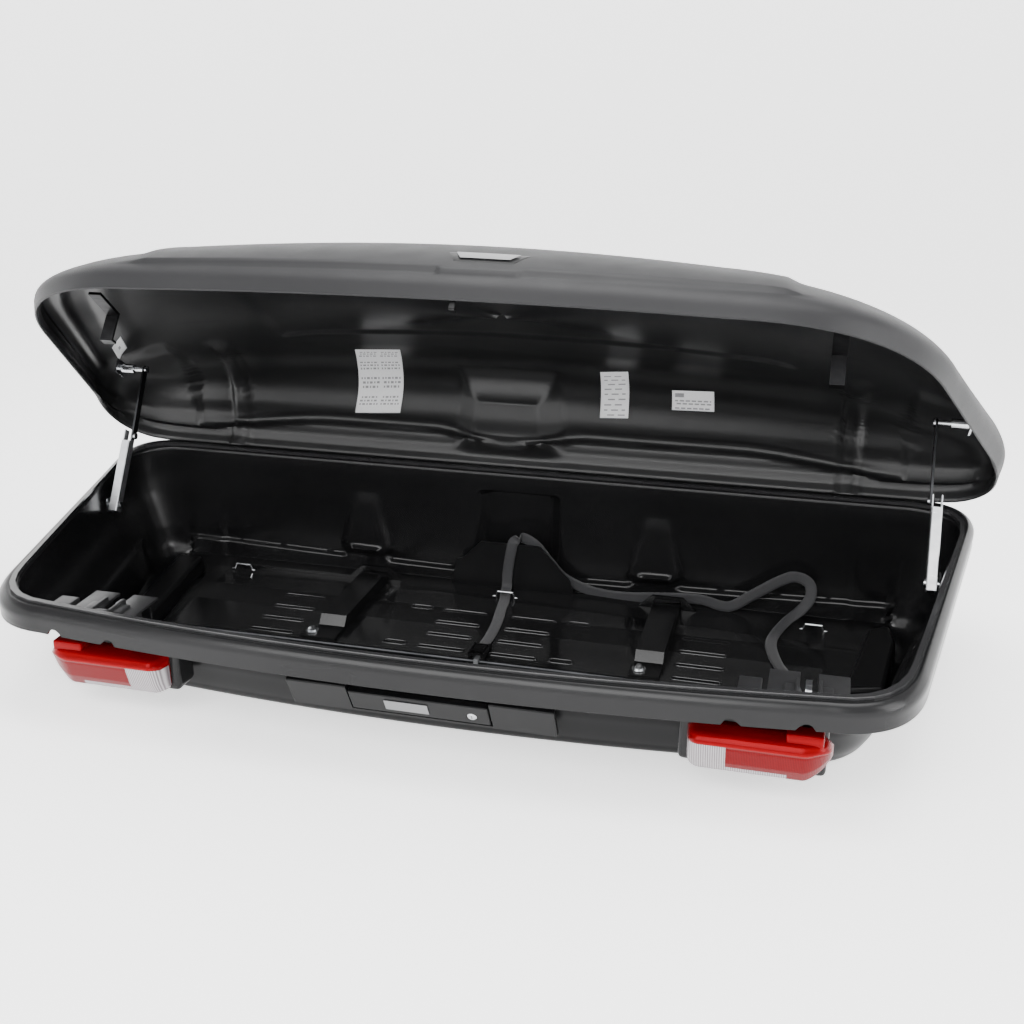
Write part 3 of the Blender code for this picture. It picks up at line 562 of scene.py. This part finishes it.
def tub_ring(height, front, side, rear, corner):
    outline = plan_outline(
        RIM_FRONT_Y + front, RIM_FRONT_X - side, RIM_REAR_Y - rear, RIM_REAR_X - side,
        FRONT_BOW, corner, 0.100,
    )
    share = height / RIM_HEIGHT
    return np.column_stack([outline, height + RIM_SLOPE * outline[:, 1] * share ** 2])


def lowered(ring, drop):
    return ring - (0, 0, drop)


def tub_relief(rows):
    """How far the tub's inside stands in from its plain wall, by place."""
    x, y, z = rows[..., 0], rows[..., 1], rows[..., 2]
    rear = smooth_step(y, 0.262, 0.280) * (1 - smooth_step(np.abs(x), 0.628, 0.634))
    ledge = 0.031 + 0.014 * (np.abs(x) / 0.6) ** 1.5
    for centre in BAR_CENTRES:
        ledge = ledge + 0.024 * band(x, centre - 0.052, centre - 0.004, 0.022)
    below_rim = 1 - smooth_step(z, 0.172, 0.184)
    relief = 0.0085 * (1 - smooth_step(z, ledge - 0.0035, ledge + 0.0035))
    relief -= 0.022 * band(x, -0.052, 0.052, 0.026) * smooth_step(z, 0.030, 0.040) * below_rim
    for centre in BAR_CENTRES:
        lean = np.clip((0.160 - z) / 0.100, 0, 1)
        middle = centre - 0.028
        outer = band(x, middle - 0.014 - 0.026 * lean, middle + 0.014 + 0.026 * lean, 0.010)
        relief += 0.011 * lean * outer * below_rim * smooth_step(z, 0.04, 0.06)
    relief += 0.0035 * smooth_step(np.abs(x), 0.562, 0.568) * (1 - smooth_step(z, 0.06, 0.17))
    side = smooth_step(np.abs(x), 0.600, 0.640) * band(y, -0.12, 0.17, 0.03)
    foot = 0.006 * side * (1 - smooth_step(z, 0.060, 0.068))
    return relief * rear + foot


def notched(rows):
    """Half-round thumb notches in the lower lip of the front rim."""
    x, y = rows[..., 0], rows[..., 1]
    lift = np.zeros_like(x)
    for centre in (-0.51, -0.42, 0.42, 0.51):
        lift += 0.009 * np.sqrt(np.clip(1 - ((x - centre) / 0.010) ** 2, 0, 1))
    lift *= y < 0
    share = np.zeros(len(rows))
    share[:4] = np.linspace(1, 0, 4)
    rows = rows.copy()
    rows[..., 2] += lift * share[:, None]
    return rows


def make_tub():
    lip = tub_ring(RIM_HEIGHT, -RIM_WIDTH, -RIM_WIDTH, -RIM_WIDTH - 0.008, 0.10)
    over = tub_ring(RIM_HEIGHT, -0.016, -0.016, -0.0295, 0.095)
    inner = tub_ring(RIM_HEIGHT, 0.0004, 0.0004, 0.0004, 0.085)
    rim = [
        lowered(lip, RIM_DROP), lowered(lip, 0.020), lowered(lip, 0.010), over,
        tub_ring(RIM_HEIGHT, -0.009, -0.009, -0.014, 0.09),
        tub_ring(RIM_HEIGHT, -0.002, -0.002, -0.002, 0.085),
    ]
    wall = [
        lowered(inner, 0.0030),
        tub_ring(0.178, 0.004, 0.001, 0.001, 0.085),
        tub_ring(0.155, 0.012, 0.002, 0.001, 0.085),
        tub_ring(0.130, 0.030, 0.006, 0.002, 0.085),
        tub_ring(0.108, 0.066, 0.012, 0.002, 0.085),
        tub_ring(0.065, 0.087, 0.024, 0.003, 0.080),
        tub_ring(0.022, 0.108, 0.036, 0.004, 0.075),
        tub_ring(0.008, 0.116, 0.044, 0.008, 0.075),
    ]
    floor = tub_ring(WALL, 0.126, 0.054, 0.016, 0.073)
    floor[:, 2] = WALL
    seen = np.concatenate([skin(rim, 0.004), skin(wall + [floor], 0.0028)])
    facing = normals_of(seen)
    if facing[-3, 0, 2] < 0:
        facing = -facing
    hidden = seen - facing * WALL
    hidden[-1, :, 2] = 0
    relief = tub_relief(seen)[..., None]
    moved = seen + facing * relief
    hidden = hidden + facing * np.minimum(relief, 0)
    mesh = closed_shell("tub_moulding", notched(moved), notched(hidden))
    made = add_piece("tub_moulding", mesh, "tub", ["tub", "wall", "rim"], 50)
    # The rim rows take the rim look, with its painted highlight.
    rim_rows = len(skin(rim, 0.004)) - 1
    for face in mesh.polygons[: rim_rows * seen.shape[1]]:
        face.material_index = 2
    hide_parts("base_shell")


make_tub()

# The lid


def lid_ring(front, side, rear, front_z, rear_z, weight):
    outline = plan_outline(
        LID_FRONT_Y + front, LID_FRONT_X - side, LID_REAR_Y - rear, LID_REAR_X - side,
        LID_FRONT_BOW, 0.20 - 0.2 * side, 0.17 - 0.2 * side,
    )
    x, y = outline[:, 0], outline[:, 1]
    share = (y - LID_FRONT_Y) / (LID_REAR_Y - LID_FRONT_Y)
    crown = CROWN_FRONT + (CROWN_REAR - CROWN_FRONT) * share
    z = front_z + (rear_z - front_z) * share - crown * weight * (x / CROWN_REACH) ** 2
    return np.column_stack([outline, z])


def rear_dropped(ring):
    """The lid's edge, lowered along the rear so that it hangs behind the tub's rim."""
    toward_rear = np.clip((ring[:, 1] - 0.17) / 0.16, 0, 1)
    made = ring.copy()
    made[:, 2] -= (LID_REAR_DROP + SKIRT_MORE) * toward_rear
    return made


def toward_centre(ring, share, rise):
    middle = ring[:, 1].mean()
    drop = CROWN_REAR * (ring[:, 0] / CROWN_REACH) ** 2 * (1 - share * share)
    return np.column_stack([
        ring[:, 0] * share, middle + (ring[:, 1] - middle) * share, ring[:, 2] + drop + rise,
    ])


def above_edge(rows):
    return rows[..., 2] - rim_z(rows[..., 1]) - LID_LIFT


def raised_panel(rows):
    """The lid's raised middle: 1 inside it, 0 outside, seen from above and on the front shoulder."""
    x, y = rows[..., 0], rows[..., 1]
    rise = above_edge(rows)
    dip = 0.006 * band(x, 0.030, 0.126, 0.008)
    across = 1 - smooth_step(np.abs(x - 0.022), 0.416, 0.436)
    front = smooth_step(rise, 0.0415 - dip, 0.0455 - dip)
    back_edge = 0.125 + 0.30 * np.clip(np.abs(x - 0.02) - 0.38, 0, 1)
    back = 1 - smooth_step(y, back_edge, back_edge + 0.014)
    return across * front * back


def lid_relief(rows):
    """How far the lid's inside stands in from its plain wall, by place on the shut lid."""
    x, y = rows[..., 0], rows[..., 1]
    rise = above_edge(rows)
    far = np.abs(x)
    rear = smooth_step(y, 0.150, 0.200)
    ledge = 0.027 - 0.021 * hill(x, -0.035, 0.14) - 0.028 * smooth_step(far, 0.36, 0.66)
    relief = 0.0055 * (1 - smooth_step(rise, ledge, ledge + 0.005)) * smooth_step(rise, -0.006, 0.002)
    relief -= 0.0030 * hill(rise, ledge + 0.012, 0.011)
    relief += 0.006 * smooth_step(far, 0.628, 0.636) * smooth_step(rise, 0.004, 0.012)
    ribs = ramp_band(far, 0.534, 0.554, 0.010) * (1 - 0.4 * smooth_step(rise, 0.090, 0.125))
    relief += 0.0085 * ribs
    lean = np.clip((rise - 0.040) / 0.080, 0, 1)
    base = ramp_band(x, -0.092 + 0.012 * lean, 0.028 - 0.012 * lean, 0.040)
    housing = np.minimum(base, np.clip((0.126 - rise) / 0.040, 0, 1)) * smooth_step(rise, -0.010, 0.020)
    relief += 0.026 * housing
    side = (1 - smooth_step(y, 0.120, 0.180)) * smooth_step(rise, 0.003, 0.007)
    skirt = 0.0045 * (1 - smooth_step(rise, 0.026, 0.032)) + 0.0045 * hill(rise, 0.052, 0.010)
    second = 0.0035 * smooth_step(far, 0.42, 0.5) * hill(rise, 0.086, 0.012)
    return relief * rear + (skirt + second) * side


def make_lid():
    front, rear = rim_z(LID_FRONT_Y) + LID_LIFT, rim_z(LID_REAR_Y) + LID_LIFT
    rings = [
        rear_dropped(lid_ring(0, 0, 0, front, rear, 0)),
        lid_ring(0.004, -0.009, 0.004, front + 0.026, rear + 0.022, 0),
        lid_ring(0.038, 0.000, 0.028, front + 0.068, rear + 0.062, 0.3),
        lid_ring(0.092, 0.022, 0.050, front + 0.110, rear + 0.094, 0.6),
        lid_ring(0.158, 0.060, 0.078, front + 0.145, rear + 0.116, 0.9),
        lid_ring(0.220, 0.114, 0.110, front + 0.168, rear + 0.127, 1.0),
    ]
    rings.append(toward_centre(rings[-1], 0.7, 0.004))
    rings.append(toward_centre(rings[-2], 0.35, 0.006))
    rings.append(toward_centre(rings[-3], 0.02, 0.007))
    outside = skin(rings, 0.0045)
    facing = normals_of(outside)
    if facing[-3, 0, 2] < 0:
        facing = -facing
    inside = outside - facing * WALL
    panel = raised_panel(outside)[..., None]
    inside = inside - facing * lid_relief(inside)[..., None] + facing * 0.0032 * panel
    outside = outside + facing * 0.0050 * panel
    mesh = closed_shell("lid_moulding", outside, inside)
    mesh.transform(OPEN_LID)
    made = add_piece("lid_moulding", mesh, "lid", ["lid", "lid_in"], 50)
    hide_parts("lid_shell")
    return made


LID = make_lid()

# Tail lamps

LAMP_WIDTH = 0.180
LAMP_CENTRE = 0.455
LAMP_LOW, LAMP_HIGH = 0.042, 0.106
LAMP_BACK = -0.2623
LAMP_PROFILE = (
    (0, 0.004), (0.06, 0.018), (0.30, 0.026), (0.66, 0.033), (0.80, 0.0335), (0.92, 0.027), (1, 0.009),
)


def lamp_rows(columns=72, rows=34):
    """The lens's front and back as grids: distance out along the lamp, height, depth forward."""
    u = np.linspace(0, 1, columns)[None, :] * LAMP_WIDTH
    v = np.linspace(0, 1, rows)[:, None]
    inner_round = 0.020
    bend = np.clip(1 - u / inner_round, 0, 1)
    low = LAMP_LOW + 0.55 * inner_round * (1 - np.sqrt(np.maximum(1 - bend * bend, 0)))
    low = low + 0.036 * np.clip((u - LAMP_WIDTH + 0.034) / 0.034, 0, 1) ** 1.6
    high = LAMP_HIGH - 0.010 * np.clip(1 - u / 0.014, 0, 1) ** 2
    high = high - 0.014 * np.clip((u - LAMP_WIDTH + 0.022) / 0.022, 0, 1) ** 2
    z = low + (high - low) * v
    share = np.interp(v, *zip(*LAMP_PROFILE))
    end = np.sqrt(np.clip(1 - (1 - np.clip(u / 0.016, 0, 1)) ** 2, 0, 1))
    far = np.sqrt(np.clip(1 - (1 - np.clip((LAMP_WIDTH - u) / 0.040, 0, 1)) ** 2, 0, 1))
    depth = share * (0.10 + 0.90 * end) * (0.16 + 0.84 * far)
    depth = depth + 0.0022 * smooth_step(v, 0.705, 0.735) * (1 - smooth_step(v, 0.93, 1.0)) * end * far
    return u + 0 * z, z, depth, v + 0 * z


def lamp_region(u, v):
    """Which lens a place on the lamp's face belongs to: 0 red, 1 clear, 2 the bright top band."""
    if v > 0.72:
        return 2
    if u < 0.0507:
        return 1
    if v < 0.17 and u < 0.128:
        return 1
    return 0


def make_lamp(name, sign):
    u, z, depth, v = lamp_rows()
    bm = bmesh.new()
    x = sign * (LAMP_CENTRE - LAMP_WIDTH / 2 + u)
    rows, columns = u.shape
    face = [[bm.verts.new((x[i, j], LAMP_BACK - depth[i, j], z[i, j])) for j in range(columns)]
            for i in range(rows)]
    back = [[bm.verts.new((x[i, j], LAMP_BACK, z[i, j])) for j in range(columns)] for i in range(rows)]
    for i in range(rows - 1):
        for j in range(columns - 1):
            made = bm.faces.new((face[i][j], face[i][j + 1], face[i + 1][j + 1], face[i + 1][j]))
            made.material_index = lamp_region((u[i, j] + u[i, j + 1]) / 2, (v[i, j] + v[i + 1, j]) / 2)
            bm.faces.new((back[i][j], back[i + 1][j], back[i + 1][j + 1], back[i][j + 1]))
    loop = [(0, j) for j in range(columns)] + [(i, columns - 1) for i in range(1, rows)]
    loop += [(rows - 1, j) for j in range(columns - 2, -1, -1)] + [(i, 0) for i in range(rows - 2, 0, -1)]
    for (i, j), (k, m) in zip(loop, loop[1:] + loop[:1]):
        bm.faces.new((face[i][j], face[k][m], back[k][m], back[i][j]))
    outer = LAMP_CENTRE + LAMP_WIDTH / 2
    lens_piece = add_piece("lamp_lens_" + name, to_mesh("lamp_lens_" + name, bm), "tub",
                           ["red", "clear", "bright_red"], 55)
    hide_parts("lamp_red_lens_" + name, "lamp_clear_lens_" + name)
    bm = bmesh.new()
    xs = sorted((sign * (outer - 0.058), sign * (outer - 0.012)))
    box_into(bm, (xs[0], LAMP_BACK - 0.026, 0.096), (xs[1], LAMP_BACK, 0.1135), 0.004, 4)
    marker_name = "lamp_side_marker_" + name
    add_piece(marker_name, to_mesh(marker_name, bm), "tub", ["bright_red"])
    bm = bmesh.new()
    low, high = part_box("lamp_housing_" + name)
    box_into(bm, (low.x, LAMP_BACK + 0.0002, low.z - 0.004), (high.x, high.y, high.z + 0.012), 0.009, 5)
    # The lamp boss takes the rim look, with its painted highlight.
    boss = add_piece("lamp_boss_" + name, to_mesh("lamp_boss_" + name, bm), "tub", ["rim"])
    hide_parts("lamp_housing_" + name)


for lamp_name, lamp_sign in (("left", -1), ("right", 1)):
    make_lamp(lamp_name, lamp_sign)

# Latch covers, floor end blocks and the lid's small hook


def make_latch_cover(name, x):
    """A grey plate with a raised guard round the claw's slot and a small block beside it."""
    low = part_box("latch_plate_" + name)[0]
    bm = bmesh.new()
    for start, end in ((x - 0.050, x - 0.0112), (x + 0.0112, x + 0.050)):
        box_into(bm, (start, -0.2705, 0.1515), (end, -0.2000, 0.1555), 0.0012)
    box_into(bm, (x - 0.0125, -0.2705, 0.1515), (x + 0.0125, -0.2632, 0.1600), 0.0012)
    for side in (-1, 1):
        inner, outer = sorted((x + side * 0.0114, x + side * 0.0165))
        box_into(bm, (inner, -0.2690, 0.1535), (outer, -0.2300, 0.1625), 0.0014)
        inner, outer = sorted((x + side * 0.0150, x + side * 0.0300))
        box_into(bm, (inner, -0.2660, 0.1535), (outer, -0.2400, 0.1590), 0.0024)
    for offset in (-0.024, 0.020):
        box_into(bm, (x + offset, -0.238, low.z), (x + offset + 0.004, -0.206, 0.153), 0.0006)
    cover = add_piece("latch_cover_" + name, to_mesh("latch_cover_" + name, bm), "tub", ["cover"])
    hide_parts("latch_plate_" + name)
    bm = bmesh.new()
    box_into(bm, (x - 0.086, -0.2705, 0.1500), (x - 0.057, -0.232, 0.1575), 0.0018, 3)
    add_piece("latch_stop_" + name, to_mesh("latch_stop_" + name, bm), "tub", ["cover"])


for latch_name, latch_x in LATCH_CENTRES.items():
    make_latch_cover(latch_name, latch_x)

END_BLOCKS = {
    "left": [(-0.586, 0.008), (-0.624, 0.227), (-0.572, 0.226), (-0.535, -0.032)],
    "right": [(0.5585, -0.015), (0.595, 0.217), (0.629, 0.237), (0.638, 0.173), (0.6165, 0.001)],
}


def make_end_block(name, outline):
    bm = bmesh.new()
    prism_into(bm, [(x, y, WALL + 0.0004) for x, y in outline], 0.034, 0.93)
    block_name = "floor_end_block_" + name
    block = add_piece(block_name, to_mesh(block_name, bm), "tub", ["trim"])
    soften(block, 0.006, 4)


for block_side, block_outline in END_BLOCKS.items():
    make_end_block(block_side, block_outline)

# Raised lips round the tray's slots


def slot_path(x_low, x_high, y, width, z):
    """A closed round-ended loop."""
    radius = width / 2
    points = []
    for centre, first in ((x_high - radius, -90), (x_low + radius, 90)):
        for i in range(9):
            angle = math.radians(first + 22.5 * i)
            points.append((centre + radius * math.cos(angle), y + radius * math.sin(angle), z))
    return points


def make_slot_lips():
    curve = bpy.data.curves.new("slot_lips", "CURVE")
    curve.dimensions = "3D"
    curve.bevel_depth = 0.0017
    curve.bevel_resolution = 3
    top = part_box("floor_tray")[1].z
    slots = []
    for row in range(4):
        y = 0.1575 - 0.0459 * row
        slots += [(-0.383, -0.310, y, 0.008), (0.310, 0.383, y, 0.008)]
        slots += [(-0.0966, -0.022, y + 0.008, 0.008), (0.022, 0.0966, y + 0.008, 0.008)]
    for y in (0.168, 0.030):
        slots += [(-0.155, -0.118, y, 0.012), (0.118, 0.155, y, 0.012)]
    for x_low, x_high, y, width in slots:
        points = slot_path(x_low - 0.001, x_high + 0.001, y, width + 0.002, top)
        spline = curve.splines.new("POLY")
        spline.points.add(len(points) - 1)
        for point, place_at in zip(spline.points, points):
            point.co = (*place_at, 1)
        spline.use_cyclic_u = True
    guide = bpy.data.objects.new("slot_lips_guide", curve)
    bpy.context.scene.collection.objects.link(guide)
    mesh = bpy.data.meshes.new_from_object(guide.evaluated_get(bpy.context.evaluated_depsgraph_get()))
    bpy.data.objects.remove(guide, do_unlink=True)
    mesh.materials.clear()
    # The lips take the lighter lips look, a painted highlight.
    add_piece("tray_slot_lips", mesh, "tub", ["lips"])


make_slot_lips()

# Labels and badge, laid on the lid

LABEL_LIFT = 0.0006
LABEL_THICKNESS = 0.0003


def laid_grid(surface, corners, columns, rows, lift):
    """Points laid on the open lid, lifted off it: a patch between four corners of the shut lid."""
    tree = BVHTree.FromPolygons(
        [v.co.copy() for v in surface.data.vertices], [tuple(p.vertices) for p in surface.data.polygons]
    )
    a, b, c, d = (open_lid(corner) for corner in corners)
    found = []
    for i in range(rows + 1):
        t = i / rows
        row = []
        for j in range(columns + 1):
            u = j / columns
            aim = (a * (1 - u) + b * u) * (1 - t) + (d * (1 - u) + c * u) * t
            point, normal, _, _ = tree.find_nearest(aim)
            row.append(point + normal * lift)
        found.append(row)
    return found


def patch_mesh(name, points, inked=None):
    """One face for each cell of a grid of points; inked cells take the second material."""
    bm = bmesh.new()
    grid = [[bm.verts.new(p) for p in row] for row in points]
    for i, (low, high) in enumerate(zip(grid, grid[1:])):
        for j in range(len(low) - 1):
            face = bm.faces.new((low[j], low[j + 1], high[j + 1], high[j]))
            face.material_index = int(inked(j, i)) if inked else 0
    mesh = bpy.data.meshes.new(name)
    bm.to_mesh(mesh)
    bm.free()
    return mesh


def thicken(piece, thickness):
    wall = piece.modifiers.new("thickness", "SOLIDIFY")
    wall.thickness = thickness
    wall.offset = 1.0


def make_label(name, surface, body, corners, size, inked):
    """A printed sticker with plain rules and blocks in place of its print."""
    mesh = patch_mesh(name, laid_grid(surface, corners, *size, LABEL_LIFT), inked)
    thicken(add_piece(name, mesh, body, ["paper", "ink"]), LABEL_THICKNESS)


def sheet_print(column, row):
    if column in (0, 1, 15, 16, 30, 31) or row in (0, 1, 38, 39):
        return False
    block = row % 9
    if block in (0, 1):
        return False
    return block in (3, 5, 7) and (column * 7 + row * 3) % 5 < 3


def list_print(column, row):
    return 1 < column < 14 and 1 < row < 38 and row % 4 == 1 and (column * 5 + row) % 6 < 4


def plate_print(column, row):
    if 1 < row < 5 and 1 < column < 8:
        return True
    return 1 < column < 26 and row in (7, 9, 12) and (column * 3 + row) % 4 < 3


def mark_print(column, row):
    return 3 < column < 6 and 3 < row < 6


LID_LABELS = {
    "label_sheet": (
        [(-0.297, 0.202, 0.343), (-0.214, 0.198, 0.346), (-0.237, 0.318, 0.277), (-0.323, 0.321, 0.271)],
        (32, 40), sheet_print,
    ),
    "label_list": (
        [(0.129, 0.237, 0.345), (0.177, 0.230, 0.345), (0.175, 0.307, 0.293), (0.126, 0.309, 0.291)],
        (16, 40), list_print,
    ),
    "label_plate": (
        [(0.249, 0.265, 0.332), (0.319, 0.260, 0.332), (0.320, 0.293, 0.310), (0.249, 0.295, 0.309)],
        (28, 14), plate_print,
    ),
    "label_side": (
        [(-0.703, 0.115, 0.282), (-0.665, 0.072, 0.289), (-0.687, 0.133, 0.293), (-0.724, 0.175, 0.285)],
        (10, 10), mark_print,
    ),
}
for label_name, (label_corners, label_size, label_print) in LID_LABELS.items():
    make_label(label_name, LID, "lid", label_corners, label_size, label_print)


BADGE_CELLS = (24, 8)
BADGE_SURROUND = [
    (0.024, -0.320, 0.264), (0.131, -0.320, 0.264), (0.117, -0.345, 0.238), (0.040, -0.345, 0.238),
]
BADGE_PLATE = [
    (0.036, -0.3245, 0.260), (0.119, -0.3245, 0.260), (0.110, -0.339, 0.2445), (0.046, -0.339, 0.2445),
]


def make_badge_layer(name, look, corners, lift, thickness):
    mesh = patch_mesh(name, laid_grid(LID, corners, *BADGE_CELLS, lift))
    layer = add_piece(name, mesh, "lid", [look])
    thicken(layer, thickness)
    soften(layer, 0.0006)


def make_badge():
    """A blank trapezoid plate in a raised surround on the lid's front shoulder."""
    make_badge_layer("badge_surround", "trim", BADGE_SURROUND, 0.0002, 0.0018)
    make_badge_layer("badge_plate", "grey", BADGE_PLATE, 0.0024, 0.0010)


make_badge()


def make_hook():
    bm = bmesh.new()
    turn = OPEN_LID
    box_into(bm, (0.047, -0.3585, 0.184), (0.061, -0.3555, 0.202), 0.0012, 2, turn)
    box_into(bm, (0.050, -0.3585, 0.162), (0.058, -0.3555, 0.186), 0.0012, 2, turn)
    box_into(bm, (0.050, -0.3575, 0.160), (0.058, -0.349, 0.164), 0.0012, 2, turn)
    add_piece("lid_hook", to_mesh("lid_hook", bm), "lid", ["trim"])


make_hook()

# Materials on the CAD nodes that stay

# The rim seal takes the seal look, a painted highlight.
NODE_LOOKS = (
    ("rim_seal", "seal"), ("floor_tray", "tray"), ("tray_rear_rail", "tray"), ("clamp_bar", "tub"),
    ("bar_bolt", "chrome"), ("strap_anchor", "trim"), ("strap_clip", "chrome"), ("latch_panel", "trim"),
    ("release_handle", "trim"), ("handle_plate", "grey"), ("lock_cylinder", "chrome"),
    ("latch_shaft", "dark_steel"), ("latch_claw", "zinc"), ("latch_lever", "zinc"),
    ("latch_plate", "trim"), ("lamp_housing", "trim"), ("lamp_red", "red"), ("lamp_clear", "clear"),
    ("striker", "black_zinc"), ("stay_channel", "zinc"), ("stay_link", "dark_steel"),
    ("stay_rivet", "chrome"), ("stay_foot", "chrome"), ("stay_head", "chrome"),
    ("hinge_leaf", "dark_steel"), ("hinge_pin", "zinc"), ("luggage_strap", "webbing"),
    ("strap_buckle", "trim"), ("base_shell", "tub"), ("lid_shell", "lid"),
)
SOFTENED = ("clamp_bar", "latch_panel", "release_handle", "stay_channel", "stay_link", "strap_anchor",
            "floor_tray", "tray_rear_rail", "handle_plate")


def dress_nodes():
    for name, node in NODES.items():
        look = next(look for start, look in NODE_LOOKS if name.startswith(start))
        node.data.materials.clear()
        node.data.materials.append(LOOKS[look])
        if name.startswith(SOFTENED):
            soften(node, 0.0014 if name.startswith(("tray_rear", "clamp", "strap_anchor")) else 0.0008)


dress_nodes()

# Studio

SWEEP_GLOW = 1.15
SWEEP_FLAT, SWEEP_BEND = 4.2, 1.6
SWEEP_EDGE = (5.85, 3.4)
SKY = 0.9


def make_floor():
    """A round white sweep: a flat floor that curves up into a low wall all round."""
    bend = [
        (SWEEP_FLAT + SWEEP_BEND * math.sin(a), SWEEP_BEND - SWEEP_BEND * math.cos(a))
        for a in np.linspace(0.15, 1.45, 10)
    ]
    profile = [(SWEEP_FLAT, 0), *bend, SWEEP_EDGE]
    bm = bmesh.new()
    turns = 64
    centre = bm.verts.new((0, 0, 0))
    rings = []
    angles = [math.tau * i / turns for i in range(turns)]
    for radius, height in profile:
        rings.append([bm.verts.new((radius * math.cos(a), radius * math.sin(a), height)) for a in angles])
    for i in range(turns):
        bm.faces.new((centre, rings[0][i], rings[0][(i + 1) % turns]))
        for low, high in zip(rings, rings[1:]):
            bm.faces.new((low[i], high[i], high[(i + 1) % turns], low[(i + 1) % turns]))
    mesh = bpy.data.meshes.new("studio_sweep")
    bm.to_mesh(mesh)
    bm.free()
    mesh.shade_smooth()
    floor = bpy.data.objects.new("studio_sweep", mesh)
    floor.location.z = -0.0005
    made, shader = new_material("sweep_white", (0.90, 0.90, 0.90), 0.9)
    shader.inputs["Emission Color"].default_value = (1, 1, 1, 1)
    shader.inputs["Emission Strength"].default_value = SWEEP_GLOW
    mesh.materials.append(made)
    bpy.context.scene.collection.objects.link(floor)


def make_light(name, place_at, target, size, power):
    data = bpy.data.lights.new(name, "AREA")
    data.shape = "RECTANGLE"
    data.size, data.size_y = size
    data.energy = power
    made = bpy.data.objects.new(name, data)
    made.location = place_at
    aim = Vector(target) - Vector(place_at)
    made.rotation_euler = aim.to_track_quat("-Z", "Y").to_euler()
    bpy.context.scene.collection.objects.link(made)


def make_world():
    world = bpy.data.worlds.new("studio")
    world.use_nodes = True
    world.node_tree.nodes["Background"].inputs["Color"].default_value = (1, 1, 1, 1)
    world.node_tree.nodes["Background"].inputs["Strength"].default_value = SKY
    bpy.context.scene.world = world


make_floor()
make_world()
make_light("key", (-0.4, -2.2, 2.2), (0, 0, 0.2), (2.6, 1.2), 90)
make_light("top", (0.2, 0.3, 2.8), (0, 0, 0.2), (3.0, 1.6), 110)
make_light("right", (2.6, -0.6, 1.4), (0.2, 0, 0.3), (1.0, 1.8), 40)
